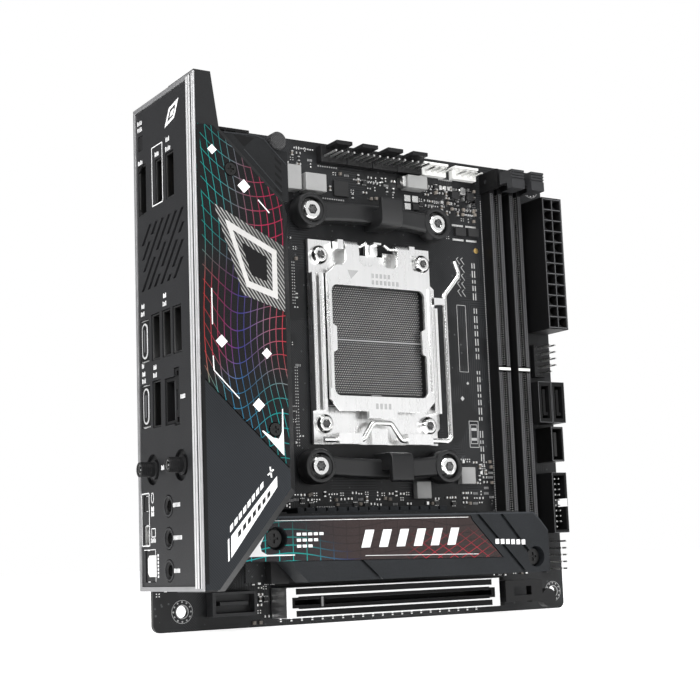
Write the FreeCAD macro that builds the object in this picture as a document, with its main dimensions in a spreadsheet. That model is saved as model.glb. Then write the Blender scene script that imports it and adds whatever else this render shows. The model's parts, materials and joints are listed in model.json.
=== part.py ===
"""Mini-ITX motherboard with a hinged-plate processor socket, standing on its bottom edge.

Every piece is drawn in board coordinates: u runs along the board away from the
rear connectors, v runs up the board and w stands off the component face. The
BOARD placement turns them into the model's frame (+X = u, +Z = v, -Y = w), with
the origin midway between the two lower mounting holes on the board's back face.
"""
import FreeCAD, Part
import math
import os

import Sketcher

Vector = FreeCAD.Vector
Rotation = FreeCAD.Rotation

# ---------------------------------------------------------------- dimensions
# name, millimetres, meaning
SIZES = (
    ("board_side", 170.18, "edge of the square board"),
    ("board_thick", 1.6, "board thickness"),
    ("board_corner", 2.5, "radius of the board's corners"),
    ("hole_left", 10.16, "left mounting hole from the rear edge"),
    ("hole_right", 165.1, "right mounting holes from the rear edge"),
    ("hole_upper_left", 33.02, "upper left mounting hole from the rear edge"),
    ("hole_low", 6.35, "lower mounting holes from the bottom edge"),
    ("hole_high", 163.83, "upper mounting holes from the bottom edge"),
    ("hole_radius", 1.98, "mounting hole radius"),
    ("fit_gap", 0.3, "air between pieces that move past each other"),
    ("run_gap", 0.05, "radial clearance of a running hinge"),
    ("panel_face", -3.35, "outer face of the rear bezel"),
    ("bezel_low", 13.4, "lower edge of the bezel"),
    ("bezel_high", 172.6, "upper edge of the bezel"),
    ("bezel_back", -2.5, "bezel edge behind the board face"),
    ("bezel_front", 43.4, "bezel edge in front of the board face"),
    ("bezel_wall", 1.4, "width of the bezel's narrow rims"),
    ("bezel_band", 5.2, "width of the bezel's polished band"),
    ("bezel_depth", 0.7, "depth of the bezel"),
    ("bezel_round", 0.6, "rounding of the bezel's corner beside the cover"),
    ("panel_set_back", 0.45, "printed panel behind the bezel face"),
    ("panel_thick", 0.9, "printed panel thickness"),
    ("sleeve_set_back", 0.75, "connector mouths behind the bezel face"),
    ("sleeve_wall", 0.35, "thickness of connector sleeves"),
    ("sleeve_depth", 11.0, "depth of connector sleeves"),
    ("housing_depth", 17.0, "reach of the rear connector blocks over the board"),
    ("usb_long", 14.6, "USB-A mouth along the panel"),
    ("usb_wide", 5.8, "USB-A mouth across the panel"),
    ("usb_high_row", 144.1, "height of the upper port group"),
    ("usb_middle_row", 93.9, "height of the middle port group"),
    ("usb_low_row", 72.3, "height of the lower port group"),
    ("type_c_long", 13.6, "USB-C frame along the panel"),
    ("type_c_wide", 6.2, "USB-C frame across the panel"),
    ("hdmi_long", 16.6, "HDMI mouth along the panel"),
    ("hdmi_wide", 5.6, "HDMI mouth across the panel"),
    ("lan_low", 64.8, "lower end of the network jack"),
    ("lan_long", 14.4, "network jack along the panel"),
    ("lan_left", 18.4, "network jack edge nearest the board"),
    ("lan_wide", 6.8, "network jack mouth across the panel"),
    ("jack_offset", 19.3, "audio jack axes off the board"),
    ("jack_pitch", 9.9, "spacing of the audio jacks"),
    ("jack_low", 19.7, "height of the lowest audio jack"),
    ("jack_radius", 3.3, "audio jack barrel radius"),
    ("jack_bore", 1.8, "audio jack bore radius"),
    ("aerial_height", 51.6, "height of the two aerial sockets"),
    ("aerial_near", 8.0, "first aerial socket off the board"),
    ("aerial_far", 28.9, "second aerial socket off the board"),
    ("aerial_radius", 2.35, "aerial socket thread radius"),
    ("aerial_base", 4.9, "radius of the recess round each aerial socket"),
    ("aerial_reach", 4.2, "aerial socket beyond the bezel face"),
    ("button_travel", 0.5, "travel of the rear push buttons"),
    ("cover_top", 42.6, "front face of the connector cover"),
    ("cover_wall", 1.4, "thickness of the cover's side walls"),
    ("cover_skirt", 24.0, "how far the cover's walls come down to"),
    ("cover_left", -2.6, "cover edge beside the bezel"),
    ("cover_right", 31.0, "cover edge towards the socket"),
    ("cover_bevel", 3.4, "width of the cover's bevelled edge"),
    ("cover_foot", 13.1, "lower end of the cover"),
    ("cover_peak", 173.4, "upper end of the cover's fin"),
    ("skin_thick", 0.6, "thickness of the cover's two face sheets"),
    ("socket_u", 86.53, "socket centre along the board"),
    ("socket_v", 98.06, "socket centre up the board"),
    ("cooler_hole_u", 54.0, "cooler hole spacing along the board"),
    ("cooler_hole_v", 90.0, "cooler hole spacing up the board"),
    ("frame_hole_u", 44.0, "socket frame screw spacing along the board"),
    ("frame_hole_v", 60.0, "socket frame screw spacing up the board"),
    ("frame_left", 60.5, "socket frame, left edge"),
    ("frame_right", 114.2, "socket frame, right edge"),
    ("frame_low", 61.0, "socket frame, lower edge"),
    ("frame_high", 133.7, "socket frame, upper edge"),
    ("frame_sheet_low", 0.8, "underside of the socket frame's sheet"),
    ("frame_sheet_top", 2.2, "top of the socket frame's sheet"),
    ("package_side", 40.1, "recess for the processor"),
    ("socket_top", 5.2, "top of the socket's plastic wall"),
    ("contact_plane", 3.4, "floor of the processor recess"),
    ("plate_low", 5.9, "underside of the load plate"),
    ("plate_top", 7.1, "top of the load plate"),
    ("window_side", 39.4, "opening in the load plate"),
    ("plate_pivot_v", 132.0, "load plate hinge up the board"),
    ("plate_pivot_w", 4.9, "load plate hinge off the board"),
    ("barrel_radius", 1.5, "load plate hinge barrel"),
    ("wire_radius", 0.6, "hinge wire"),
    ("lever_radius", 1.0, "load lever wire"),
    ("lever_v", 62.4, "load lever pivot up the board"),
    ("lever_w", 5.6, "load lever pivot off the board"),
    ("lever_u", 116.5, "load lever arm along the board"),
    ("crank_v", 68.4, "top of the lever's crank"),
    ("bracket_boss", 6.1, "cooler bracket boss radius"),
    ("bracket_top", 8.2, "cooler bracket height"),
    ("bracket_hook_top", 14.5, "height of the bracket's hook"),
    ("dimm_pitch", 9.4, "spacing of the memory slots"),
    ("dimm_left", 140.3, "first memory slot, left face"),
    ("dimm_width", 6.1, "memory slot width"),
    ("dimm_low", 24.5, "lower end of the memory slots"),
    ("dimm_high", 160.4, "upper end of the memory slots"),
    ("dimm_top", 5.3, "memory slot height"),
    ("dimm_key", 90.2, "memory slot key up the board"),
    ("dimm_groove", 1.5, "memory slot groove"),
    ("latch_pivot_v", 163.0, "memory latch hinge up the board"),
    ("latch_pivot_w", 3.6, "memory latch hinge off the board"),
    ("latch_top", 19.5, "memory latch height"),
    ("latch_pin", 0.8, "memory latch pivot radius"),
    ("atx_left", 159.7, "main power socket, left face"),
    ("atx_low", 105.3, "main power socket, lower end"),
    ("atx_pitch", 4.2, "power socket pin pitch"),
    ("atx_top", 13.0, "main power socket height"),
    ("atx_rim", 0.8, "power socket outer wall beyond its pins' cells"),
    ("cell_side", 3.4, "power socket cell"),
    ("pin_pitch", 2.54, "header pin pitch"),
    ("pin_side", 0.64, "header pin thickness"),
    ("header_base", 2.5, "header base height"),
    ("header_left", 160.4, "pin headers, left face"),
    ("pcie_left", 42.6, "graphics slot, left end"),
    ("pcie_length", 88.4, "graphics slot length"),
    ("pcie_low", 2.6, "graphics slot, lower face"),
    ("pcie_width", 10.0, "graphics slot width with its steel"),
    ("pcie_top", 11.2, "graphics slot height"),
    ("pcie_pivot_u", 134.4, "graphics slot latch hinge along the board"),
    ("pcie_pivot_w", 3.4, "graphics slot latch hinge off the board"),
    ("sink_top", 30.0, "face of the SSD heatsink"),
    ("sink_low", 21.2, "underside of the SSD heatsink"),
    ("sink_left", 14.0, "SSD heatsink, left end under the cover"),
    ("sink_right", 139.4, "SSD heatsink, right end"),
    ("sink_foot", 14.4, "SSD heatsink, lower edge"),
    ("sink_head", 35.5, "SSD heatsink, upper edge"),
    ("riser_low", 15.2, "underside of the SSD riser board"),
    ("riser_thick", 1.2, "SSD riser board thickness"),
    ("chip_sink_top", 14.4, "chipset heatsink height"),
)

DOC = FreeCAD.newDocument("motherboard")
SHEET = DOC.addObject("Spreadsheet::Sheet", "dims")


class Size:
    """A length that knows its number and the sheet formula that gives it."""

    def __init__(self, formula, value):
        self.formula = formula
        self.value = value

    def __add__(self, other):
        return joined(self, "+", other)

    def __radd__(self, other):
        return joined(other, "+", self)

    def __sub__(self, other):
        return joined(self, "-", other)

    def __rsub__(self, other):
        return joined(other, "-", self)

    def __mul__(self, other):
        return joined(self, "*", other)

    def __rmul__(self, other):
        return joined(other, "*", self)

    def __truediv__(self, other):
        return joined(self, "/", other)


def as_size(number):
    """Give a plain number the form of a Size."""
    if isinstance(number, Size):
        return number
    return Size("(%r)" % float(number), float(number))


def joined(first, sign, second):
    """Join two sizes with one of + - * / in both number and formula."""
    first, second = as_size(first), as_size(second)
    value = {
        "+": lambda a, b: a + b,
        "-": lambda a, b: a - b,
        "*": lambda a, b: a * b,
        "/": lambda a, b: a / b,
    }[sign](first.value, second.value)
    return Size("(%s %s %s)" % (first.formula, sign, second.formula), value)


class Dimensions:
    """The sheet's named sizes as attributes."""


d = Dimensions()
for row, (name, value, meaning) in enumerate(SIZES, start=1):
    SHEET.set("A%d" % row, name)
    SHEET.set("B%d" % row, str(value))
    SHEET.set("C%d" % row, meaning)
    SHEET.setAlias("B%d" % row, name)
    setattr(d, name, Size("dims." + name, value))
DOC.recompute()

BOARD = FreeCAD.Placement(
    Vector(
        -(d.hole_left.value + d.hole_right.value) / 2,
        -d.board_thick.value,
        -d.hole_low.value,
    ),
    Rotation(Vector(1, 0, 0), 90),
)
ALONG = {
    "u": Rotation(Vector(0, 1, 0), 90),
    "v": Rotation(Vector(1, 0, 0), -90),
    "w": Rotation(),
}
NODES = []


# ------------------------------------------------------------ building blocks
def bind(thing, prop, length):
    """Bind one property to a size of the sheet."""
    thing.setExpression(prop, as_size(length).formula)


def place(thing, u, v, w):
    """Bind the place of a primitive."""
    for axis, length in zip("xyz", (u, v, w)):
        bind(thing, "Placement.Base." + axis, length)
    return thing


def block(u0, u1, v0, v1, w0, w1):
    """A box between limits along u, v and w."""
    box = DOC.addObject("Part::Box", "Block")
    bind(box, "Length", as_size(u1) - u0)
    bind(box, "Width", as_size(v1) - v0)
    bind(box, "Height", as_size(w1) - w0)
    return place(box, u0, v0, w0)


def rod(axis, u, v, w, radius, length):
    """A cylinder that starts at a point and runs along u, v or w."""
    cylinder = DOC.addObject("Part::Cylinder", "Rod")
    cylinder.Placement.Rotation = ALONG[axis]
    bind(cylinder, "Radius", radius)
    bind(cylinder, "Height", length)
    return place(cylinder, u, v, w)


def cone(axis, u, v, w, radius, end_radius, length):
    """A cone frustum that starts at a point and runs along u, v or w."""
    frustum = DOC.addObject("Part::Cone", "Taper")
    frustum.Placement.Rotation = ALONG[axis]
    bind(frustum, "Radius1", radius)
    bind(frustum, "Radius2", end_radius)
    bind(frustum, "Height", length)
    return place(frustum, u, v, w)


def hexagon(u, v, w, radius, depth):
    """A six-sided prism along w, for a driver recess."""
    prism = DOC.addObject("Part::Prism", "Hexagon")
    prism.Polygon = 6
    bind(prism, "Circumradius", radius)
    bind(prism, "Height", depth)
    return place(prism, u, v, w)


def fuse(*pieces):
    """Join pieces into one."""
    if len(pieces) == 1:
        return pieces[0]
    joint = DOC.addObject("Part::MultiFuse", "Fuse")
    joint.Shapes = list(pieces)
    return joint


def cut(base, *tools):
    """Take tools away from a piece."""
    result = DOC.addObject("Part::Cut", "Cut")
    result.Base = base
    result.Tool = fuse(*tools)
    return result


def group(*pieces):
    """Keep separate solids together in one node."""
    compound = DOC.addObject("Part::Compound", "Group")
    compound.Links = list(pieces)
    return compound


def keep(piece, label):
    """Make a finished piece one of the model's nodes."""
    piece.Label = label
    piece.Placement = BOARD
    NODES.append(piece)
    return piece


def origin_plane(body, role):
    """One of a body's own origin planes."""
    return next(f for f in body.Origin.OriginFeatures if f.Role == role)


def pin_point(sketch, item, corner, point):
    """Tie one point of a sketch to its two sizes."""
    for kind, length in zip(("DistanceX", "DistanceY"), point):
        value = as_size(length).value
        index = sketch.addConstraint(Sketcher.Constraint(kind, -1, 1, item, corner, value))
        bind(sketch, "Constraints[%d]" % index, length)


def draw_circle(sketch, u, v, radius):
    """Draw one bound circle."""
    centre = Vector(as_size(u).value, as_size(v).value, 0)
    round_size = as_size(radius).value
    item = sketch.addGeometry(Part.Circle(centre, Vector(0, 0, 1), round_size), False)
    pin_point(sketch, item, 3, (u, v))
    index = sketch.addConstraint(Sketcher.Constraint("Radius", item, round_size))
    bind(sketch, "Constraints[%d]" % index, radius)


def draw_polygon(sketch, corners):
    """Draw one bound closed outline."""
    points = [Vector(as_size(a).value, as_size(b).value, 0) for a, b in corners]
    count = len(points)
    first = sketch.GeometryCount
    for i in range(count):
        sketch.addGeometry(Part.LineSegment(points[i], points[(i + 1) % count]), False)
    for i in range(count):
        after = first + (i + 1) % count
        sketch.addConstraint(Sketcher.Constraint("Coincident", first + i, 2, after, 1))
    for i in range(count):
        pin_point(sketch, first + i, 1, corners[i])


def sketch_on(body, role, offset, loops):
    """Sketch loops on a body's origin plane: a list is a polygon, a tuple a circle."""
    sketch = body.newObject("Sketcher::SketchObject", "Outline")
    sketch.AttachmentSupport = [(origin_plane(body, role), "")]
    sketch.MapMode = "FlatFace"
    bind(sketch, "AttachmentOffset.Base.z", offset)
    for loop in loops:
        if isinstance(loop, tuple):
            draw_circle(sketch, *loop)
        else:
            draw_polygon(sketch, loop)
    return sketch


def plate(loops, low, high, role="XY_Plane"):
    """A padded body: loops across w (XY_Plane) or across u (YZ_Plane)."""
    body = DOC.addObject("PartDesign::Body", "Plate")
    sketch = sketch_on(body, role, low, loops)
    pad = body.newObject("PartDesign::Pad", "Pad")
    pad.Profile = sketch
    bind(pad, "Length", as_size(high) - low)
    sketch.Visibility = False
    return body


def pocket(body, loops, low, high):
    """Cut loops out of a body from w = low up to w = high."""
    DOC.recompute()
    before = body.Shape.Volume
    sketch = sketch_on(body, "XY_Plane", high, loops)
    hole = body.newObject("PartDesign::Pocket", "Pocket")
    hole.Profile = sketch
    bind(hole, "Length", as_size(high) - low)
    DOC.recompute()
    if body.Shape.Volume >= before:
        raise RuntimeError("a pocket cut nothing")
    return body


def rect(a0, a1, b0, b1):
    """Corners of an upright rectangle."""
    return [(a0, b0), (a1, b0), (a1, b1), (a0, b1)]


def edges_at(body, corners, axis=2):
    """Names of the straight edges along one axis that stand on the given corners."""
    names = []
    across = [i for i in range(3) if i != axis]
    spots = [tuple(as_size(length).value for length in corner) for corner in corners]
    for index, edge in enumerate(body.Shape.Edges, start=1):
        start, end = edge.Vertexes[0].Point, edge.Vertexes[-1].Point
        if any(abs(start[i] - end[i]) > 1e-6 for i in across):
            continue
        for spot in spots:
            if all(abs(start[i] - value) < 1e-4 for i, value in zip(across, spot)):
                names.append("Edge%d" % index)
    if not names:
        raise RuntimeError("no edge stands on those corners")
    return names


def dress(body, kind, size_name, size, corners, axis=2):
    """Fillet or chamfer the edges of a body that stand on the given corners."""
    DOC.recompute()
    names = edges_at(body, corners, axis)
    base = body.Tip
    feature = body.newObject("PartDesign::" + kind, kind)
    feature.Base = (base, names)
    bind(feature, size_name, size)
    body.Tip = feature
    return body


def rounded(body, radius, corners, axis=2):
    """Fillet edges of a body."""
    return dress(body, "Fillet", "Radius", radius, corners, axis)


def bent_wire(corners, bends, radius):
    """A round wire: straight runs joined by tangent arcs of the given radii."""
    points = [Vector(*(as_size(x).value for x in corner)) for corner in corners]
    edges = []
    start = points[0]
    for before, corner, after, bend in zip(points, points[1:], points[2:], bends):
        to_before = (before - corner).normalize()
        to_after = (after - corner).normalize()
        half = to_before.getAngle(to_after) / 2
        middle = (to_before + to_after).normalize()
        distance = bend / math.sin(half)
        trim = bend / math.tan(half)
        enter = corner + to_before * trim
        leave = corner + to_after * trim
        top = corner + middle * (distance - bend)
        edges.append(Part.LineSegment(start, enter).toShape())
        edges.append(Part.Arc(enter, top, leave).toShape())
        start = leave
    edges.append(Part.LineSegment(start, points[-1]).toShape())
    path = Part.Wire(edges)
    direction = (points[1] - points[0]).normalize()
    section = Part.Wire(Part.Circle(points[0], direction, as_size(radius).value).toShape())
    return path.makePipe(Part.Face(section))


# ---------------------------------------------------------------- the board
def round_socket(across_u, across_v):
    """The corners of a hole rectangle centred on the socket."""
    return [
        (d.socket_u + side_u * across_u / 2, d.socket_v + side_v * across_v / 2)
        for side_u in (-1, 1)
        for side_v in (-1, 1)
    ]


COOLER_HOLES = round_socket(d.cooler_hole_u, d.cooler_hole_v)
FRAME_HOLES = round_socket(d.frame_hole_u, d.frame_hole_v)
MOUNTING_HOLES = (
    (d.hole_left, d.hole_low),
    (d.hole_right, d.hole_low),
    (d.hole_upper_left, d.hole_high),
    (d.hole_right, d.hole_high),
)
POST_RADIUS = 3.4
SCREW_RADIUS = 1.7


def make_board():
    """The printed circuit board with its mounting, cooler and socket holes."""
    side = d.board_side
    loops = [rect(0, side, 0, side)]
    loops += [(u, v, d.hole_radius) for u, v in MOUNTING_HOLES]
    loops += [(u, v, POST_RADIUS + 0.2) for u, v in COOLER_HOLES]
    loops += [(u, v, SCREW_RADIUS + 0.2) for u, v in FRAME_HOLES]
    board = plate(loops, 0 - d.board_thick, 0)
    rounded(board, d.board_corner, rect(0, side, 0, side))
    keep(board, "pcb")


# ------------------------------------------------------------- rear connectors
USB_A = (
    (d.usb_high_row, 16.7), (d.usb_high_row, 24.5),
    (d.usb_middle_row, 11.8), (d.usb_middle_row, 20.0), (d.usb_middle_row, 27.9),
    (d.usb_low_row, 11.9),
)
USB_C = ((93.6, 3.3), (d.usb_low_row, 3.6))
HDMI = (144.2, 3.2)
CMOS_BUTTON = (160.2, 2.3)
BIOS_BUTTON = (41.1, 2.4)
DATA_PORT = (30.9, 2.4)
OPTICAL = (21.3, 5.6)
AERIALS = ((d.aerial_height, d.aerial_near), (d.aerial_height, d.aerial_far))
JACKS = tuple((d.jack_low + i * d.jack_pitch, d.jack_offset) for i in range(3))
VENT_SLOTS = (
    (-5.3, ((125.3, 131.5),)),
    (-0.4, ((120.5, 125.9), (127.7, 131.5))),
    (4.4, ((116.5, 131.5),)),
    (9.3, ((110.1, 120.0), (121.8, 131.5))),
    (14.2, ((110.1, 123.3), (125.2, 131.5))),
    (19.0, ((110.1, 113.7), (115.7, 131.5))),
    (24.0, ((110.1, 122.1), (123.9, 126.8))),
    (28.9, ((110.1, 112.0), (113.9, 121.3))),
    (33.7, ((110.1, 115.9),)),
)
VENT_MIDDLE = 118.0
VENT_WIDE = 2.0
BUTTON_LONG = 4.6
BUTTON_WIDE = 2.9
HOLE_ROOM = 0.25


def about(centre, long, wide):
    """Corners of a rectangle about a centre on the panel."""
    v, w = centre
    return rect(as_size(v) - as_size(long) / 2, as_size(v) + as_size(long) / 2,
                as_size(w) - as_size(wide) / 2, as_size(w) + as_size(wide) / 2)


def vent_loops():
    """Slanted ventilation slots, each a thin parallelogram at 45 degrees."""
    loops = []
    for start, spans in VENT_SLOTS:
        for low, high in spans:
            near = start + low - VENT_MIDDLE
            far = start + high - VENT_MIDDLE
            loops.append([(low, near), (high, far), (high, far + VENT_WIDE), (low, near + VENT_WIDE)])
    return loops


def make_bezel():
    """The polished frame round the rear connectors; its wide band wraps on to the cover side."""
    loops = [
        rect(d.bezel_low, d.bezel_high, d.bezel_back, d.bezel_front),
        rect(d.bezel_low + d.bezel_wall, d.bezel_high - d.bezel_wall,
             d.bezel_back + d.bezel_wall, d.bezel_front - d.bezel_band),
    ]
    bezel = plate(loops, d.panel_face, d.panel_face + d.bezel_depth, "YZ_Plane")
    rounded(bezel, d.bezel_round, [(d.panel_face, d.bezel_front)], axis=1)
    keep(bezel, "io_bezel")


def make_panel():
    """The printed connector panel inside the bezel."""
    room = 2 * HOLE_ROOM
    loops = [rect(d.bezel_low + d.bezel_wall, d.bezel_high - d.bezel_wall,
                  d.bezel_back + d.bezel_wall, d.bezel_front - d.bezel_band)]
    loops += [about(spot, d.usb_long + room, d.usb_wide + room) for spot in USB_A]
    loops += [about(spot, d.type_c_long + room, d.type_c_wide + room) for spot in USB_C]
    loops += [about(HDMI, d.hdmi_long + room, d.hdmi_wide + room)]
    loops += [about(spot, BUTTON_LONG + room, BUTTON_WIDE + room) for spot in (CMOS_BUTTON, BIOS_BUTTON)]
    loops += [about(DATA_PORT, 6.4 + room, 3.2 + room), about(OPTICAL, 9.6 + room, 8.2 + room)]
    low = d.lan_low - HOLE_ROOM
    high = d.lan_low + d.lan_long + HOLE_ROOM
    left = d.lan_left - HOLE_ROOM
    step = d.lan_left + d.lan_wide - HOLE_ROOM
    right = step + 3.2 + room
    loops += [[(low, left), (high, left), (high, step), (high + 2.6, step), (high + 2.6, right),
               (low - 0.6, right), (low - 0.6, step), (low, step)]]
    loops += [(v, w, d.jack_radius + HOLE_ROOM) for v, w in JACKS]
    loops += [(v, w, d.aerial_base) for v, w in AERIALS]
    loops += vent_loops()
    face = d.panel_face + d.panel_set_back
    keep(plate(loops, face, face + d.panel_thick, "YZ_Plane"), "io_panel")


def sleeve(centre, long, wide, tongue_wide, tongue_shift):
    """A sheet-metal connector mouth with its tongue."""
    v, w = as_size(centre[0]), as_size(centre[1])
    mouth = d.panel_face + d.sleeve_set_back
    back = mouth + d.sleeve_depth
    wall = d.sleeve_wall
    shell = cut(
        block(mouth, back, v - as_size(long) / 2, v + as_size(long) / 2,
              w - as_size(wide) / 2, w + as_size(wide) / 2),
        block(mouth - 1, back - wall, v - as_size(long) / 2 + wall, v + as_size(long) / 2 - wall,
              w - as_size(wide) / 2 + wall, w + as_size(wide) / 2 - wall),
    )
    half = as_size(long) / 2 - 1.4
    tongue = block(mouth + 1.6, back - wall, v - half, v + half,
                   w + tongue_shift - tongue_wide / 2, w + tongue_shift + tongue_wide / 2)
    return fuse(shell, tongue)


def make_rear_connectors():
    """Every connector behind the panel's cut-outs, and the blocks that carry them."""
    keep(group(*[sleeve(spot, d.usb_long, d.usb_wide, 1.9, 1.2) for spot in USB_A]), "usb_a_ports")
    small = sleeve(DATA_PORT, 6.4, 3.2, 0.7, 0)
    keep(group(small, *[sleeve(spot, d.type_c_long, d.type_c_wide, 2.8, 1.1) for spot in USB_C]),
         "usb_c_ports")
    keep(sleeve(HDMI, d.hdmi_long, d.hdmi_wide, 1.2, 0.4), "hdmi_port")
    make_lan()
    make_optical()
    make_jacks()
    make_aerials()
    make_housings()


def make_lan():
    """The network jack: a plastic block with a stepped mouth."""
    mouth = d.panel_face + d.sleeve_set_back
    low, high = d.lan_low, d.lan_low + d.lan_long
    left, right = d.lan_left, d.lan_left + d.lan_wide
    body = fuse(block(mouth, mouth + 18, low, high, left, right),
                block(mouth, mouth + 18, low - 0.6, high + 2.6, right, right + 3.2))
    opening = block(mouth - 1, mouth + 11, low + 1, high - 1, left + 0.8, right)
    key = block(mouth - 1, mouth + 9, low + 4, high - 4, right, right + 1.6)
    lamps = [block(mouth - 1, mouth + 1.2, low + 0.2, low + 1.8, right + 1.1, right + 2.5),
             block(mouth - 1, mouth + 1.2, high + 0.2, high + 1.8, right + 1.1, right + 2.5)]
    keep(cut(body, opening, key, *lamps), "lan_port")


def make_optical():
    """The optical audio socket with its shuttered window."""
    v, w = OPTICAL
    mouth = d.panel_face + d.sleeve_set_back
    body = block(mouth, mouth + 13, v - 4.8, v + 4.8, w - 4.1, w + 4.1)
    window = block(mouth - 1, mouth + 0.9, v - 3.4, v + 3.4, w - 2.4, w + 3.4)
    keep(cut(body, window), "spdif_port")


def make_jacks():
    """Three audio jacks: barrels in front of a plastic block."""
    mouth = d.panel_face + d.panel_set_back + 0.1
    jacks = []
    for v, w in JACKS:
        barrel = rod("u", mouth, v, w, d.jack_radius, 3.2)
        body = block(mouth + 3.2, mouth + 15, v - 4.6, v + 4.6, w - 4.6, w + 4.6)
        ring = cone("u", mouth - 0.01, v, w, d.jack_radius - 0.5, d.jack_bore, 0.9)
        jacks.append(cut(fuse(barrel, body), ring, rod("u", mouth - 1, v, w, d.jack_bore, 14)))
    keep(group(*jacks), "audio_jacks")


def make_aerials():
    """Two threaded aerial sockets, each standing on a recessed round base."""
    sockets = []
    face = d.panel_face
    for v, w in AERIALS:
        base = rod("u", face + 1.5, v, w, d.aerial_base + 0.4, 0.6)
        thread = rod("u", face - d.aerial_reach, v, w, d.aerial_radius, d.aerial_reach + 1.8)
        nut = rod("u", face + 0.5, v, w, d.aerial_radius + 0.8, 1.2)
        bore = rod("u", face - d.aerial_reach - 0.1, v, w, d.aerial_radius - 0.75, 4)
        centre = rod("u", face - d.aerial_reach + 0.9, v, w, 0.6, 3.2)
        sockets.append(fuse(cut(fuse(base, thread, nut), bore), centre))
    keep(group(*sockets), "antenna_connectors")


def make_housings():
    """Plastic blocks that hold the port sleeves to the board."""
    start = d.panel_face + d.sleeve_set_back + d.sleeve_depth + 0.01
    end = d.housing_depth
    half = d.usb_long / 2
    high, middle, low = d.usb_high_row, d.usb_middle_row, d.usb_low_row
    switch = d.panel_face + d.panel_set_back + 5.15 + d.button_travel + d.fit_gap
    switches = [block(switch, switch + 4.5, v - 3, v + 3, 0, w + 2) for v, w in (CMOS_BUTTON, BIOS_BUTTON)]
    keep(group(
        *switches,
        block(start, end, high - half - 1, high + half + 1, 0, 23.6),
        block(start, end, middle - half, middle + half, 0, 32),
        block(start, end, low - half, low + half, 0, 15.8),
        block(start, end, DATA_PORT[0] - 3.6, DATA_PORT[0] + 3.6, 0, 5),
    ), "rear_port_housings")


def make_buttons():
    """Two push buttons that slide into the rear panel, each with its own switch stem."""
    for spot, label in ((CMOS_BUTTON, "clear_cmos_button"), (BIOS_BUTTON, "bios_flashback_button")):
        v, w = spot
        front = d.panel_face + d.panel_set_back + 0.15
        cap = block(front, front + 2.2, v - BUTTON_LONG / 2, v + BUTTON_LONG / 2,
                    w - BUTTON_WIDE / 2, w + BUTTON_WIDE / 2)
        stem = block(front + 2.2, front + 5.0, v - 1.2, v + 1.2, w - 0.8, w + 0.8)
        keep(fuse(cap, stem), label)


# --------------------------------------------------------- cover and heatsink
COVER_SCREWS = ((9.2, 142.5), (22.5, 61.5))


def make_cover():
    """The shell over the rear connectors, with two face sheets and a bevelled edge."""
    left, right, wall = d.cover_left, d.cover_right, d.cover_wall
    foot, peak = d.cover_foot, d.cover_peak
    outline = [
        (left, foot), (5.8, foot), (right, 42.5), (right, 131.0), (28.3, 134.2), (5.8, 155.4),
        (3.2, peak), (left, peak),
    ]
    inner = [
        (left + wall, foot + wall), (5.0, foot + wall), (right - wall, 43.2), (right - wall, 130.4),
        (27.6, 133.3), (5.2, 154.6), (2.2, peak - wall), (left + wall, peak - wall),
    ]
    shell = plate([outline], d.cover_skirt, d.cover_top)
    pocket(shell, [inner], d.cover_skirt, d.cover_top - d.cover_bevel)
    pocket(shell, [rect(left - 1, 0.6, 15.0, 158.0)], d.cover_skirt, 35.0)
    pocket(shell, [rect(left - 1, -1.9, 14.2, 171.8)], d.cover_skirt, 38.6)
    pocket(shell, [rect(8.0, 34.0, 14.8, 37.0)], d.cover_skirt, d.sink_top + 0.4)
    pocket(shell, [(u, v, 1.25) for u, v in COVER_SCREWS], d.cover_top - d.cover_bevel - 1, d.cover_top)
    DOC.recompute()
    names = []
    for index, edge in enumerate(shell.Shape.Edges, start=1):
        middle = edge.CenterOfMass
        on_face = abs(middle.z - d.cover_top.value) < 1e-6
        if on_face and middle.x > 10 and 14 < middle.y < 100:
            names.append("Edge%d" % index)
    base = shell.Tip
    bevel = shell.newObject("PartDesign::Chamfer", "Bevel")
    bevel.Base = (base, names)
    bind(bevel, "Size", d.cover_bevel - 0.2)
    shell.Tip = bevel
    keep(shell, "io_cover")

    skin_low = d.cover_top
    skin_high = d.cover_top + d.skin_thick
    edge = left + 0.3
    upper = [(edge, 77.8), (27.3, 49.8), (27.3, 133.6), (3.4, 155.8), (edge, 155.8)]
    lower = [(edge, 13.6), (2.2, 13.6), (27.3, 43.2), (27.3, 49.2), (edge, 77.2)]
    holes = [(u, v, 2.3) for u, v in COVER_SCREWS]
    keep(plate([upper] + holes, skin_low, skin_high), "cover_print_panel")
    keep(plate([lower], skin_low, skin_high), "cover_brushed_panel")


def cross_screw(u, v, seat, head_radius, head_height, shank_radius, shank_end):
    """A flat-headed screw with a cross recess."""
    head = rod("w", u, v, seat, head_radius, head_height)
    shank = rod("w", u, v, shank_end, shank_radius, as_size(seat) - shank_end)
    top = as_size(seat) + head_height
    arm, half = head_radius * 0.55, head_radius * 0.13
    slots = [block(as_size(u) - x, as_size(u) + x, as_size(v) - y, as_size(v) + y, top - 0.5, top + 1)
             for x, y in ((arm, half), (half, arm))]
    return cut(fuse(head, shank), *slots)


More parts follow.
